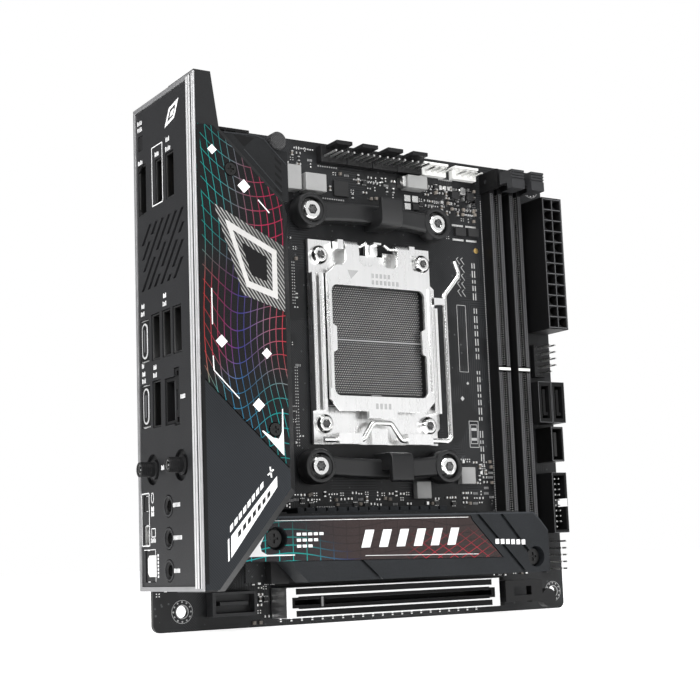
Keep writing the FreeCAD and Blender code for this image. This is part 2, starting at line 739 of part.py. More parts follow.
def make_vrm():
    """Heatsink over the voltage regulator, its pads, transistors and coils."""
    outline = [(7.0, 155.2), (19.4, 155.6), (22.4, 154.8), (26.2, 151.4), (31.0, 151.4),
               (31.0, 134.8), (28.9, 134.6)]
    face = plate([outline], 34.0, 41.0)
    boss = rod("w", 27.4, 154.4, 34.0, 2.9, 7.4)
    body = block(18.4, 29.2, 58.0, 144.0, 4.2, 20.0)
    neck = block(19.8, 29.2, 143.6, 152.0, 4.2, 34.0)
    fins = [block(27.4, 30.0, 62.0 + 6.0 * i, 64.4 + 6.0 * i, 6.5, 21.0) for i in range(12)]
    keep(fuse(face, boss, cut(fuse(body, neck), *fins)), "vrm_heatsink")
    keep(group(block(19.0, 28.6, 60.0, 150.0, 3.1, 4.2), block(44.0, 118.0, 16.8, 34.0, 19.0, 21.2)),
         "thermal_pads")
    keep(group(*[block(20.2, 27.4, 61.0 + 8.9 * i, 67.0 + 8.9 * i, 0, 3.1) for i in range(10)]),
         "vrm_mosfets")
    coils = [block(34.0, 42.6, 60.0 + 9.1 * i, 68.2 + 9.1 * i, 0, 7.5) for i in range(10)]
    keep(group(*coils), "vrm_inductors")


def make_coils_and_chips():
    """Loose coils and chips on the component face."""
    coil = 5.2
    keep(group(
        block(50.6, 57.2, 150.5, 159.4, 0, coil),
        block(58.9, 67.5, 150.7, 157.2, 0, coil),
        block(102.8, 111.6, 156.4, 161.4, 0, coil),
        block(122.8, 129.2, 47.0, 53.2, 0, 2.8),
        block(102.6, 108.9, 41.8, 48.0, 0, 2.8),
    ), "inductors")
    keep(group(
        block(73.2, 79.2, 151.1, 156.8, 0, 1.0),
        block(126.4, 131.2, 141.2, 144.4, 0, 1.6),
        block(132.4, 137.2, 141.4, 144.6, 0, 1.6),
        block(33.6, 40.6, 160.0, 166.0, 0, 1.0),
        block(45.4, 50.2, 42.0, 47.0, 0, 1.0),
        block(70.0, 91.0, 15.0, 36.0, 0, 2.2),
        block(44.6, 49.4, 160.2, 164.6, 0, 1.0),
        block(3.0, 12.0, 113.0, 122.0, 0, 1.2),
    ), "chips")


def make_behind_cover():
    """Pieces under the cover: radio module, clock battery and sound connector."""
    can = block(3.4, 21.0, 46.5, 58.0, 1.2, 4.2)
    card = block(2.0, 24.0, 45.6, 59.0, 0, 1.2)
    keep(fuse(card, can), "wifi_module")
    keep(group(rod("w", 27.4, 29.6, 0, 10.0, 3.6)), "clock_battery")
    rim = cut(block(18.9, 35.2, 4.2, 12.1, 0, 4.6), block(20.1, 34.2, 5.3, 11.2, 1.0, 5.0))
    keep(fuse(rim, block(22.0, 32.4, 7.7, 8.9, 1.0, 3.6)), "front_audio_connector")


# -------------------------------------------------------------------- socket
def make_socket():
    """The processor socket: plastic body, contact field and steel frame."""
    u, v = d.socket_u, d.socket_v
    half = d.package_side / 2
    body = block(64.9, 109.3, 74.4, 121.2, 0, d.socket_top)
    well = block(u - half, u + half, v - half, v + half, d.contact_plane, d.socket_top + 1)
    keep(cut(body, well), "socket_body")
    inner = half - 0.6
    contacts = block(u - inner, u + inner, v - inner, v + inner, d.contact_plane, d.contact_plane + 0.25)
    keep(group(contacts), "socket_contacts")
    make_socket_frame()
    make_load_plate()
    make_lever()
    make_hinge_wire()


def make_socket_frame():
    """The steel frame: a screwed sheet with raised rails, lever covers and hinge ears."""
    left, right = d.frame_left, d.frame_right
    low, top = d.frame_sheet_low, d.frame_sheet_top
    screw_holes = [(u, v, SCREW_RADIUS + 0.1) for u, v in FRAME_HOLES]
    outline = [
        (left, d.frame_low), (right - 1.2, d.frame_low), (right - 1.2, 66.0), (right, 67.2),
        (right, 119.0), (112.6, 120.4), (112.6, d.frame_high), (103.8, d.frame_high),
        (103.8, 131.0), (92.0, 131.0), (92.0, 129.4), (89.4, 129.4), (89.4, d.frame_high),
        (84.6, d.frame_high), (84.6, 129.4), (82.0, 129.4), (82.0, 131.0), (70.0, 131.0),
        (70.0, d.frame_high), (left, d.frame_high),
    ]
    sheet = plate([outline, rect(64.6, 109.6, 74.1, 121.5)] + screw_holes, low, top)
    rails = [
        block(left, left + 1.5, 72.5, 121.4, top, 4.4),
        block(left + 2.2, left + 4.0, 72.5, 121.4, top, 5.6),
        block(right - 4.2, right - 2.6, 72.5, 118.4, top, 5.6),
        block(right - 1.6, right - 0.4, 72.5, 111.6, top, 4.6),
    ]
    bore = rod("u", 60.0, d.lever_v, d.lever_w, d.lever_radius + d.run_gap, 56.0)
    humps = [block(u0, u1, 60.8, 64.6, top, 7.4) for u0, u1 in ((67.6, 77.2), (96.4, 107.4))]
    covers = cut(fuse(*humps), bore)
    rest = block(83.2, 90.0, 60.9, 66.6, top, 4.1)
    hook = fuse(block(110.4, 112.0, 112.4, 114.9, top, 7.6), block(112.0, 115.2, 112.4, 114.9, 6.4, 7.6))
    ears = [block(70.4, 72.8, 130.2, 133.6, top, 6.2), block(101.2, 103.6, 130.2, 133.6, top, 6.2)]
    pin = rod("u", 69.0, d.plate_pivot_v, d.plate_pivot_w, d.wire_radius + 0.01, 36.0)
    catch = fuse(block(85.4, 88.6, 129.6, 133.6, top, 4.0), block(85.4, 88.6, 132.9, 133.6, 4.0, 6.8))
    keep(fuse(sheet, covers, rest, hook, catch, *rails, cut(fuse(*ears), pin)), "ilm_frame")


def make_load_plate():
    """The load plate: a windowed sheet with two hinge tabs and a pressed tongue."""
    u, v = d.socket_u, 97.4
    half = d.window_side / 2
    outline = [
        (80.4, 69.9), (92.6, 69.9), (92.6, 72.4), (105.2, 72.4), (109.1, 76.4), (109.1, 120.8),
        (104.9, 124.2), (102.4, 124.4), (100.8, 126.4), (100.8, 132.0), (95.2, 132.0), (95.2, 126.0),
        (93.6, 124.6), (90.6, 124.6), (89.4, 125.4), (84.6, 125.4), (83.4, 124.6), (80.4, 124.6),
        (78.8, 126.0), (78.8, 132.0), (73.2, 132.0), (73.2, 126.4), (71.6, 124.4), (69.1, 124.2),
        (64.9, 120.8), (64.9, 76.4), (68.8, 72.4), (80.4, 72.4),
    ]
    window = [
        (u - half, v - half), (u + half, v - half), (u + half, v - 4.6), (u + half - 1.6, v - 3.6),
        (u + half - 1.6, v + 4.6), (u + half, v + 5.6), (u + half, v + half), (u - half, v + half),
        (u - half, v + 5.6), (u - half + 1.6, v + 4.6), (u - half + 1.6, v - 3.6), (u - half, v - 4.6),
    ]
    sheet = plate([outline, window], d.plate_low, d.plate_top)
    corners = [(u - half, v - half), (u + half, v - half), (u + half, v + half), (u - half, v + half)]
    rounded(sheet, 2.4, corners)
    pivot_v, pivot_w = d.plate_pivot_v, d.plate_pivot_w
    barrels = [rod("u", 73.2, pivot_v, pivot_w, d.barrel_radius, 5.6),
               rod("u", 95.2, pivot_v, pivot_w, d.barrel_radius, 5.6)]
    bores = rod("u", 70.0, pivot_v, pivot_w, d.wire_radius + d.run_gap, 34.0)
    ribs = [block(65.2, 66.2, 80.0, 118.0, d.plate_top, d.plate_top + 0.6),
            block(107.8, 108.8, 80.0, 118.0, d.plate_top, d.plate_top + 0.6)]
    keep(cut(fuse(sheet, *barrels, *ribs), bores), "load_plate")


def make_lever():
    """The load lever: one bent wire with a crank in its pivot run."""
    v, w = d.lever_v, d.lever_w
    corners = [
        (62.4, v, w), (78.4, v, w), (82.6, d.crank_v, w), (90.4, d.crank_v, w), (94.8, v, w),
        (d.lever_u, v, w), (d.lever_u, 116.6, w), (123.7, 124.8, w), (121.6, 129.8, w),
    ]
    lever = DOC.addObject("Part::Feature", "Lever")
    lever.Shape = bent_wire(corners, (2.0, 2.0, 2.0, 2.0, 2.4, 4.0, 2.4), d.lever_radius)
    keep(lever, "load_lever")


def make_hinge_wire():
    """The spring wire that the load plate turns on, caught in the frame's middle."""
    v, w = d.plate_pivot_v, d.plate_pivot_w
    left = [(70.4, v, w), (80.6, v, w), (83.2, 133.4, w)]
    right = [(103.6, v, w), (93.2, v, w), (90.8, 133.4, w)]
    wires = []
    for path in (left, right):
        wire = DOC.addObject("Part::Feature", "HingeWire")
        wire.Shape = bent_wire(path, (1.6,), d.wire_radius)
        wires.append(wire)
    keep(group(*wires), "ilm_hinge_wire")


def driven_screw(u, v, seat, head_radius, head_height, shank_radius, shank_end, recess):
    """A domed screw with a driver recess and a washer face."""
    collar = rod("w", u, v, seat, head_radius, head_height * 0.55)
    dome = cone("w", u, v, as_size(seat) + head_height * 0.55, head_radius, head_radius * 0.72,
                head_height * 0.45)
    shank = rod("w", u, v, shank_end, shank_radius, as_size(seat) - shank_end)
    socket = hexagon(u, v, as_size(seat) + head_height * 0.35, recess, head_height)
    return cut(fuse(collar, dome, shank), socket)


def make_socket_hardware():
    """Backplate, cooler brackets and every screw round the socket."""
    back = 0 - d.board_thick
    u, v = d.socket_u, d.socket_v
    arm_u, arm_v = d.cooler_hole_u / 2 + 6, d.cooler_hole_v / 2 + 6
    outline = [
        (u - arm_u, v - arm_v), (u - 14, v - arm_v), (u - 10, v - arm_v + 8), (u + 10, v - arm_v + 8),
        (u + 14, v - arm_v), (u + arm_u, v - arm_v), (u + arm_u, v + arm_v), (u + 14, v + arm_v),
        (u + 10, v + arm_v - 8), (u - 10, v + arm_v - 8), (u - 14, v + arm_v), (u - arm_u, v + arm_v),
    ]
    threads = [(a, b, 1.9) for a, b in COOLER_HOLES]
    threads += [(a, b, SCREW_RADIUS + 0.05) for a, b in FRAME_HOLES]
    sheet = plate([outline, rect(u - 15, u + 15, v - 17, v + 17)] + threads, back - 2.4, back)
    posts = [cut(rod("w", a, b, back - 0.6, POST_RADIUS, 3.8), rod("w", a, b, back - 1, 1.9, 6))
             for a, b in COOLER_HOLES]
    keep(fuse(sheet, *posts), "socket_backplate")

    make_bracket("cooler_bracket_top", v + d.cooler_hole_v / 2, 1)
    make_bracket("cooler_bracket_bottom", v - d.cooler_hole_v / 2, -1)
    keep(group(*[driven_screw(a, b, 5.4, 4.1, 2.7, 1.85, back - 2.2, 1.9) for a, b in COOLER_HOLES]),
         "bracket_screws")
    keep(group(*[driven_screw(a, b, d.frame_sheet_top, 3.35, 2.3, SCREW_RADIUS, back - 2.2, 1.6)
                 for a, b in FRAME_HOLES]), "ilm_screws")


def make_bracket(label, v, outward):
    """A cooler bracket: two bosses, a bowed band between them and a hook in its middle."""
    u = d.socket_u
    half = d.cooler_hole_u / 2
    low = 2.2
    stations = [step / 4 for step in range(-4, 5)]
    inner = [(u + half * t, v + outward * (0.9 - 1.5 * t * t) - 3.6) for t in stations]
    outer = [(u + half * t, v + outward * (0.9 - 1.5 * t * t) + 3.6) for t in reversed(stations)]
    band = plate([inner + outer], low, d.bracket_top - 0.6)
    bosses = [rod("w", u + side * half, v, low, d.bracket_boss, d.bracket_top - low) for side in (-1, 1)]
    recesses = [rod("w", u + side * half, v, 5.4, 4.5, 5) for side in (-1, 1)]
    holes = [rod("w", u + side * half, v, 0, 2.1, 8) for side in (-1, 1)]
    wells = [rod("w", u + side * half, v, low - 0.01, POST_RADIUS + 0.1, 1.0) for side in (-1, 1)]
    hook = plate([[
        (u - 2.6, v - outward * 4.6), (u + 7.1, v - outward * 4.6), (u + 6.9, v + outward * 1.2),
        (u + 6.0, v + outward * 5.9), (u - 0.4, v + outward * 5.9), (u - 0.8, v + outward * 1.2),
    ]], low, d.bracket_hook_top)
    slot_middle = v + outward * 4.6
    slot = block(u - 3, u + 8, slot_middle - 2.8, slot_middle + 2.8, low - 1, d.bracket_hook_top - 2.2)
    foot = block(u - 14, u + 14, v - 2, v + 2, 0, low)
    keep(fuse(cut(hook, slot), cut(fuse(band, foot, *bosses), *recesses, *holes, *wells)), label)


# ------------------------------------------------------------- memory slots
def make_memory():
    """Two memory slots, each with one latch on its upper end."""
    for index in range(2):
        left = d.dimm_left + index * d.dimm_pitch
        make_slot(left, "dimm_slot_%d" % (index + 1))
        make_latch(left, "dimm_latch_%d" % (index + 1))


def make_slot(left, label):
    """A memory slot: grooved body with a key, an end stop and a forked latch tower."""
    right = left + d.dimm_width
    centre = left + d.dimm_width / 2
    half = d.dimm_groove / 2
    body = block(left, right, d.dimm_low, d.dimm_high, 0, d.dimm_top)
    stop = block(left, right, d.dimm_low - 3.2, d.dimm_low, 0, 9.0)
    grooves = [
        block(centre - half, centre + half, d.dimm_low - 1.2, d.dimm_key - 0.8, 1.6, 10),
        block(centre - half, centre + half, d.dimm_key + 0.8, d.dimm_high + 1, 1.6, d.dimm_top + 1),
    ]
    tower_high = d.latch_pivot_v + 3.4
    base = block(left, right, d.dimm_high, tower_high, 0, 1.3)
    cheeks = [block(left - 0.5, left + 0.55, d.dimm_high - 1.6, tower_high, 0, 11.0),
              block(right - 0.55, right + 0.5, d.dimm_high - 1.6, tower_high, 0, 11.0)]
    pivot = rod("u", left - 1, d.latch_pivot_v, d.latch_pivot_w, d.latch_pin + d.run_gap, 9)
    tower = cut(fuse(base, *cheeks), pivot)
    keep(fuse(cut(fuse(body, stop), *grooves), tower), label)


def make_latch(left, label):
    """A memory latch: an arm on its own pivot pin with a ribbed thumb pad."""
    gap = 0.55 + d.fit_gap
    u0, u1 = left + gap, left + d.dimm_width - gap
    v, w = d.latch_pivot_v, d.latch_pivot_w
    heel = rod("u", u0, v, w, 1.9, d.dimm_width - gap * 2)
    pin = rod("u", left - 0.4, v, w, d.latch_pin, d.dimm_width + 0.8)
    arm = block(u0, u1, v - 1.9, v + 1.9, w, 12.2)
    head_low = 12.2
    head = block(left, left + d.dimm_width, v - 6.0, v + 1.2, head_low, d.latch_top)
    claw = cut(head, block(left - 1, left + 8, v - 7, v - 3.4, head_low - 1, d.latch_top - 3.2))
    rib_v = v - 2.4
    ribs = [block(left - 1, left + 8, rib_v + 1.15 * i, rib_v + 1.15 * i + 0.55, d.latch_top - 0.5,
                  d.latch_top + 1) for i in range(3)]
    keep(cut(fuse(heel, pin, arm, claw), *ribs), label)


# ------------------------------------------------------------ power sockets
def power_socket(left, low, rows, along, label):
    """A two-column power socket; along says whether its rows run up v or along u."""
    rim = d.atx_rim
    long, wide = rows * d.atx_pitch + rim * 1.5, 2 * d.atx_pitch + rim * 1.5
    size_u, size_v = (wide, long) if along == "v" else (long, wide)
    body = block(left, left + size_u, low, low + size_v, 0, d.atx_top)
    cells, pins = [], []
    for row in range(rows):
        for column in range(2):
            steps = (column, row) if along == "v" else (row, column)
            u = left + rim * 0.75 + (steps[0] + 0.5) * d.atx_pitch
            v = low + rim * 0.75 + (steps[1] + 0.5) * d.atx_pitch
            half = d.cell_side / 2
            square = (row % 4 in (0, 3)) == (column == 0)
            start = u - half if square else u - half * 0.1
            cells.append(block(start, u + half, v - half, v + half, 2.4, d.atx_top + 1))
            if not square:
                cells.append(rod("w", u - half * 0.1, v, 2.4, half * 0.9, d.atx_top - 1.4))
            pins.append(block(u - 0.5, u + 0.5, v - 0.5, v + 0.5, 2.4, 9.6))
    latch_v = low + size_v / 2
    nub = block(left + size_u, left + size_u + 1.6, latch_v - 2.4, latch_v + 2.4, 7.0, 10.2)
    whole = fuse(body, nub) if along == "v" else body
    keep(cut(whole, *cells), label)
    return pins


def make_power():
    """The 24-way board socket and the 8-way processor socket with their pins."""
    pins = power_socket(d.atx_left, d.atx_low, 12, "v", "atx_power_24")
    pins += power_socket(14.4, 156.9, 4, "u", "eps_power_8")
    keep(group(*pins), "power_pins")


# ---------------------------------------------------------------- headers
def header_pins(left, low, columns, rows, top, missing=()):
    """Square pins standing in a grid."""
    half = d.pin_side / 2
    pins = []
    for column in range(columns):
        for row in range(rows):
            if (column, row) in missing:
                continue
            u = as_size(left) + d.pin_pitch * (column + 0.5)
            v = as_size(low) + d.pin_pitch * (row + 0.5)
            pins.append(block(u - half, u + half, v - half, v + half, d.header_base, top))
    return pins


def make_headers(edge_pins):
    """Pin headers, fan headers, lighting headers and their pins."""
    left = d.header_left
    pitch = d.pin_pitch
    pins = header_pins(left, 88.0, 2, 5, 10.6, missing=((1, 0),))
    pins += header_pins(left, 13.6, 2, 5, 10.6, missing=((0, 4),))
    keep(group(block(left, left + pitch * 2, 88.0, 88.0 + pitch * 5, 0, d.header_base),
               block(left, left + pitch * 2, 13.6, 13.6 + pitch * 5, 0, d.header_base)), "pin_headers")

    fans = []
    for index in range(4):
        start = 66.7 + 10.95 * index
        base = block(start, start + 10.75, 162.4, 168.6, 0, 3.3)
        wall = block(start + 2.0, start + 8.6, 167.2, 168.6, 3.3, 11.0)
        fans.append(fuse(base, wall))
        pins += row_of_pins(start + 1.5, 164.6, 4, 3.3, 11.2)
    keep(group(*fans), "fan_headers")

    lights = []
    for start in (111.2, 125.4):
        lights.append(fuse(block(start, start + 11.0, 162.9, 167.6, 0, 2.6),
                           block(start, start + 11.0, 166.7, 167.6, 2.6, 4.4)))
        pins += row_of_pins(start + 1.7, 164.5, 4, 2.6, 8.8)
    keep(group(*lights), "rgb_headers")
    keep(group(*pins, *edge_pins), "header_pins")


def row_of_pins(first_u, v, count, low, top):
    """One row of square pins along u."""
    half = d.pin_side / 2
    pins = []
    for index in range(count):
        u = first_u + d.pin_pitch * index
        pins.append(block(u - half, u + half, v - half, v + half, low, top))
    return pins


def make_edge_sockets():
    """SATA sockets, the front USB-C socket and the 20-way USB socket on the board's far edge."""
    ports = []
    for start in (156.1, 162.6):
        body = block(start, start + 6.2, 69.8, 85.4, 0, 9.0)
        mouth = block(start + 1.4, start + 5.0, 71.4, 83.8, 2.0, 10)
        tongue = fuse(block(start + 2.6, start + 3.8, 72.6, 82.6, 1.5, 8.2),
                      block(start + 3.8, start + 4.8, 72.6, 73.8, 1.5, 8.2))
        ports.append(fuse(cut(body, mouth), tongue))
    keep(group(*ports), "sata_ports")

    shell = cut(block(161.0, 166.8, 55.0, 68.2, 0, 9.2), block(161.7, 166.1, 55.8, 67.4, 1.4, 10))
    keep(fuse(shell, block(163.2, 164.6, 57.0, 66.2, 1.0, 7.8)), "front_usb_c_header")

    body = block(160.0, 167.2, 28.2, 50.8, 0, 9.2)
    mouth = block(161.0, 166.2, 29.3, 49.7, 2.0, 10)
    notch = block(166.0, 168.0, 38.0, 41.0, 2.0, 10)
    pins = []
    for column in range(2):
        for row in range(10):
            if (column, row) == (1, 0):
                continue
            u, v = 162.6 + 2.0 * column, 30.5 + 2.0 * row
            pins.append(block(u - 0.25, u + 0.25, v - 0.25, v + 0.25, 2.0, 7.6))
    keep(cut(body, mouth, notch), "usb3_header")
    return pins


# ------------------------------------------------------------- graphics slot
def make_graphics_slot():
    """The graphics slot, its steel reinforcement and its latch."""
    left, right = d.pcie_left, d.pcie_left + d.pcie_length
    low, high = d.pcie_low, d.pcie_low + d.pcie_width
    top = d.pcie_top
    centre = (low + high) / 2
    key = left + 14.0
    body = block(left + 1.2, right - 1.2, low + 1.5, high - 1.5, 0, top - 0.5)
    grooves = [block(left + 3.4, key - 0.9, centre - 0.95, centre + 0.95, 2.4, top + 1),
               block(key + 0.9, right - 3.4, centre - 0.95, centre + 0.95, 2.4, top + 1)]
    slot_tail = block(right + 0.2, right + 6.2, low + 2.6, high - 2.6, 0, 1.2)
    u, w = d.pcie_pivot_u, d.pcie_pivot_w
    cheeks = fuse(block(u - 2.6, u + 2.6, low - 0.2, low + 0.9, 0, 6.0),
                  block(u - 2.6, u + 2.6, high - 0.9, high + 0.2, 0, 6.0))
    bore = rod("v", u, low - 1, w, 0.8 + d.run_gap, 12)
    keep(group(fuse(cut(body, *grooves), slot_tail), cut(cheeks, bore)), "pcie_slot")

    outer = block(left, right, low, high, 0.6, top)
    hollow = block(left + 1.0, right - 1.0, low + 1.1, high - 1.1, 0, top + 1)
    ends = [block(left, left + 4.6, low, high, top - 0.5, top),
            block(right - 4.6, right, low, high, top - 0.5, top),
            block(left, right, low + 2.0, low + 3.0, top - 0.5, top),
            block(left, right, high - 3.0, high - 2.0, top - 0.5, top)]
    window = [block(left + 2.2, key - 0.4, centre - 1.7, centre + 1.7, top - 1, top + 1),
              block(key + 0.4, right - 2.2, centre - 1.7, centre + 1.7, top - 1, top + 1)]
    keep(cut(fuse(cut(outer, hollow), *ends), *window), "pcie_shield")

    v_low, v_high = low + 1.2, high - 1.2
    hub = rod("v", u, v_low, w, 1.8, d.pcie_width - 2.4)
    hook = block(u - 1.6, u + 2.2, v_low, v_high, w, 12.4)
    arms = [block(u + 2.0, u + 13.0, v_low, v_low + 2.2, 7.6, 12.0),
            block(u + 2.0, u + 13.0, v_high - 2.2, v_high, 7.6, 12.0)]
    bridge = block(u + 10.6, u + 15.8, v_low - 0.4, v_high, 9.0, 12.0)
    pad = rod("w", 153.2, 4.6, 8.8, 3.3, 3.2)
    axle = rod("v", u, low - 0.1, w, 0.8, d.pcie_width + 0.2)
    keep(fuse(hub, hook, bridge, pad, axle, *arms), "pcie_latch")


# -------------------------------------------------------------- SSD and chipset
SINK_SCREWS = ((29.2, 28.5), (133.4, 19.8))


def make_ssd_stack():
    """Chipset heatsink, riser board with its SSD slot, and the grooved SSD heatsink."""
    low, high = d.riser_low, d.riser_low + d.riser_thick
    fins = [block(48.6 + 4.2 * i, 49.3 + 4.2 * i, 37.4, 40.0, 4.0, 15.0) for i in range(14)]
    keep(cut(block(46.0, 107.0, 14.6, 38.7, 2.4, d.chip_sink_top), *fins), "chipset_heatsink")
    legs = [block(40.0, 44.0, 16.0, 34.0, 0, low), block(124.0, 128.0, 16.0, 34.0, 0, low)]
    posts = [rod("w", u, v, high, 2.4, d.sink_low - high) for u, v in SINK_SCREWS]
    holes = [rod("w", u, v, low - 1, 1.45, 9.0) for u, v in SINK_SCREWS]
    riser = fuse(block(25.0, 137.0, 14.8, 36.4, low, high), *legs, *posts)
    keep(cut(riser, *holes), "ssd_riser_board")
    front = cut(block(32.0, 38.4, 14.2, 37.0, high, high + 4.2),
                block(36.0, 39.0, 14.5, 36.7, high + 1.65, high + 2.55))
    back = 0 - d.board_thick
    rear = cut(block(44.0, 50.0, 14.0, 36.0, back - 3.6, back),
               block(47.6, 51.0, 14.6, 35.4, back - 2.2, back - 1.2))
    nut = cut(rod("w", 128.0, 25.0, back - 2.6, 2.6, 2.6), rod("w", 128.0, 25.0, back - 3.0, 1.2, 4.0))
    keep(group(front, rear, nut), "ssd_slots")
    keep(group(block(36.2, 118.0, 14.6, 36.6, high + 1.7, high + 2.5)), "ssd_board")

    top, foot, head = d.sink_top, d.sink_foot, d.sink_head
    outline = [
        (d.sink_left, d.sink_low), (33.5, d.sink_low), (40.3, foot), (d.sink_right, foot),
        (d.sink_right, head - 6.6), (d.sink_right - 3.4, head - 2.6), (d.sink_right - 6.4, head),
        (d.sink_left, head),
    ]
    body = plate([outline], d.sink_low, top)
    groove = 1.5
    cuts = [
        [(106.2, head + 1), (106.2 + groove, head + 1), (128.6 + groove, foot - 1), (128.6, foot - 1)],
        [(116.6, head + 1), (116.6 + groove, head + 1), (131.0 + groove, 19.6), (131.0, 19.6)],
        [(59.4, 21.0), (59.4 + groove, 21.0), (68.0 + groove, foot - 1), (68.0, foot - 1)],
    ]
    pocket(body, cuts, top - 1.2, top)
    pocket(body, [(u, v, 3.6) for u, v in SINK_SCREWS], top - 3.6, top)
    pocket(body, [(u, v, 1.45) for u, v in SINK_SCREWS], d.sink_low - 1, top - 3.6)
    start = d.sink_left + 0.6
    band = [(start, 21.4), (118.9, 19.9), (106.3, 33.0), (105.6, 34.6), (start, 34.6)]
    pocket(body, [band], top - 0.5, top)
    keep(body, "ssd_heatsink")
    start = d.sink_left + 0.8
    label = [(start, 21.6), (118.2, 20.1), (105.9, 32.9), (105.3, 34.4), (start, 34.4)]
    left_screw = (*SINK_SCREWS[0], 3.8)
    keep(plate([label, left_screw], top - 0.5, top), "ssd_label_plate")


def make_small_screws():
    """Screws of the cover and of the SSD heatsink, in one node."""
    screws = [cross_screw(u, v, d.cover_top, 2.0, 0.8, 1.2, 36.0) for u, v in COVER_SCREWS]
    screws += [cross_screw(u, v, d.sink_top - 3.6, 2.8, 1.6, 1.4, 14.6) for u, v in SINK_SCREWS]
    keep(group(*screws), "cover_screws")


make_board()
make_bezel()
make_panel()
make_rear_connectors()
make_buttons()
make_cover()
make_vrm()
make_coils_and_chips()
make_behind_cover()
make_socket()
make_socket_hardware()
make_memory()
make_power()
make_headers(make_edge_sockets())
make_graphics_slot()
make_ssd_stack()
make_small_screws()

DOC.recompute()
faults = [
    thing.Label for thing in DOC.Objects
    if "Invalid" in thing.State or "Error" in thing.State
]
for node in NODES:
    if node.Shape.isNull() or not node.Shape.isValid() or not node.Shape.Solids:
        faults.append(node.Label)
if faults:
    raise RuntimeError("failed objects: " + ", ".join(faults))
if len({node.Label for node in NODES}) != len(NODES):
    raise RuntimeError("two nodes share a name")

os.makedirs("parts", exist_ok=True)
for node in NODES:
    node.Shape.exportStep("parts/%s.step" % node.Label)
print(len(NODES), "nodes")
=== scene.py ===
import json
import math
import random

import bmesh
import bpy
from mathutils import Matrix, Vector


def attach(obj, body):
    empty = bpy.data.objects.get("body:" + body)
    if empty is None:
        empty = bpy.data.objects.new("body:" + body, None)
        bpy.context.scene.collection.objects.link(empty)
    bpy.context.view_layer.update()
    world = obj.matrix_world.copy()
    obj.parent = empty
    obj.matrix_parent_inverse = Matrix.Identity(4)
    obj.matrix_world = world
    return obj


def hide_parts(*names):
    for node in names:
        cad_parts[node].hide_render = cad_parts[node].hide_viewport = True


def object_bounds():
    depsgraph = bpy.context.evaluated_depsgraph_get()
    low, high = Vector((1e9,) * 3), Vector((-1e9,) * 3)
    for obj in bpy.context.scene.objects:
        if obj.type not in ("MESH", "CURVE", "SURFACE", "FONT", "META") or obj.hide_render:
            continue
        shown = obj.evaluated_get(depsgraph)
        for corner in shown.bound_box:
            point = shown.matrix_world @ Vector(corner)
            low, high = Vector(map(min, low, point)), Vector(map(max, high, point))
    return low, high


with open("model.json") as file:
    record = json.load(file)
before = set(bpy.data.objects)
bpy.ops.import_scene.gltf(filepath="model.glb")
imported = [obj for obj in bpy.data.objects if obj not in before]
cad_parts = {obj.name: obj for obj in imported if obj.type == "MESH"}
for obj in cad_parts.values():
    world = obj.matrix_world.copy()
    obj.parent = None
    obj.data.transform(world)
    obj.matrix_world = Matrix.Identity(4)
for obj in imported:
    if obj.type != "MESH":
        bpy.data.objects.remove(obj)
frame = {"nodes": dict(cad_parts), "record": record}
CAD_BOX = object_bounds()

# ---- the board's own coordinates
# u runs along the board from the rear connectors, v up the board, w out of the component face, in mm.
ORIGIN_U = 87.63
ORIGIN_V = 6.35
BOARD_THICK = 1.6
FROM_MM = Matrix((
    (0.001, 0.0, 0.0, -ORIGIN_U / 1000),
    (0.0, 0.0, -0.001, -BOARD_THICK / 1000),
    (0.0, 0.001, 0.0, -ORIGIN_V / 1000),
    (0.0, 0.0, 0.0, 1.0),
))
RECORD = frame["record"]
BODY = {node: body for body, nodes in RECORD["behaviour"]["bodies"].items() for node in nodes}
SLOT = {row["node"]: row["material_slot"] for row in RECORD["subparts"]}


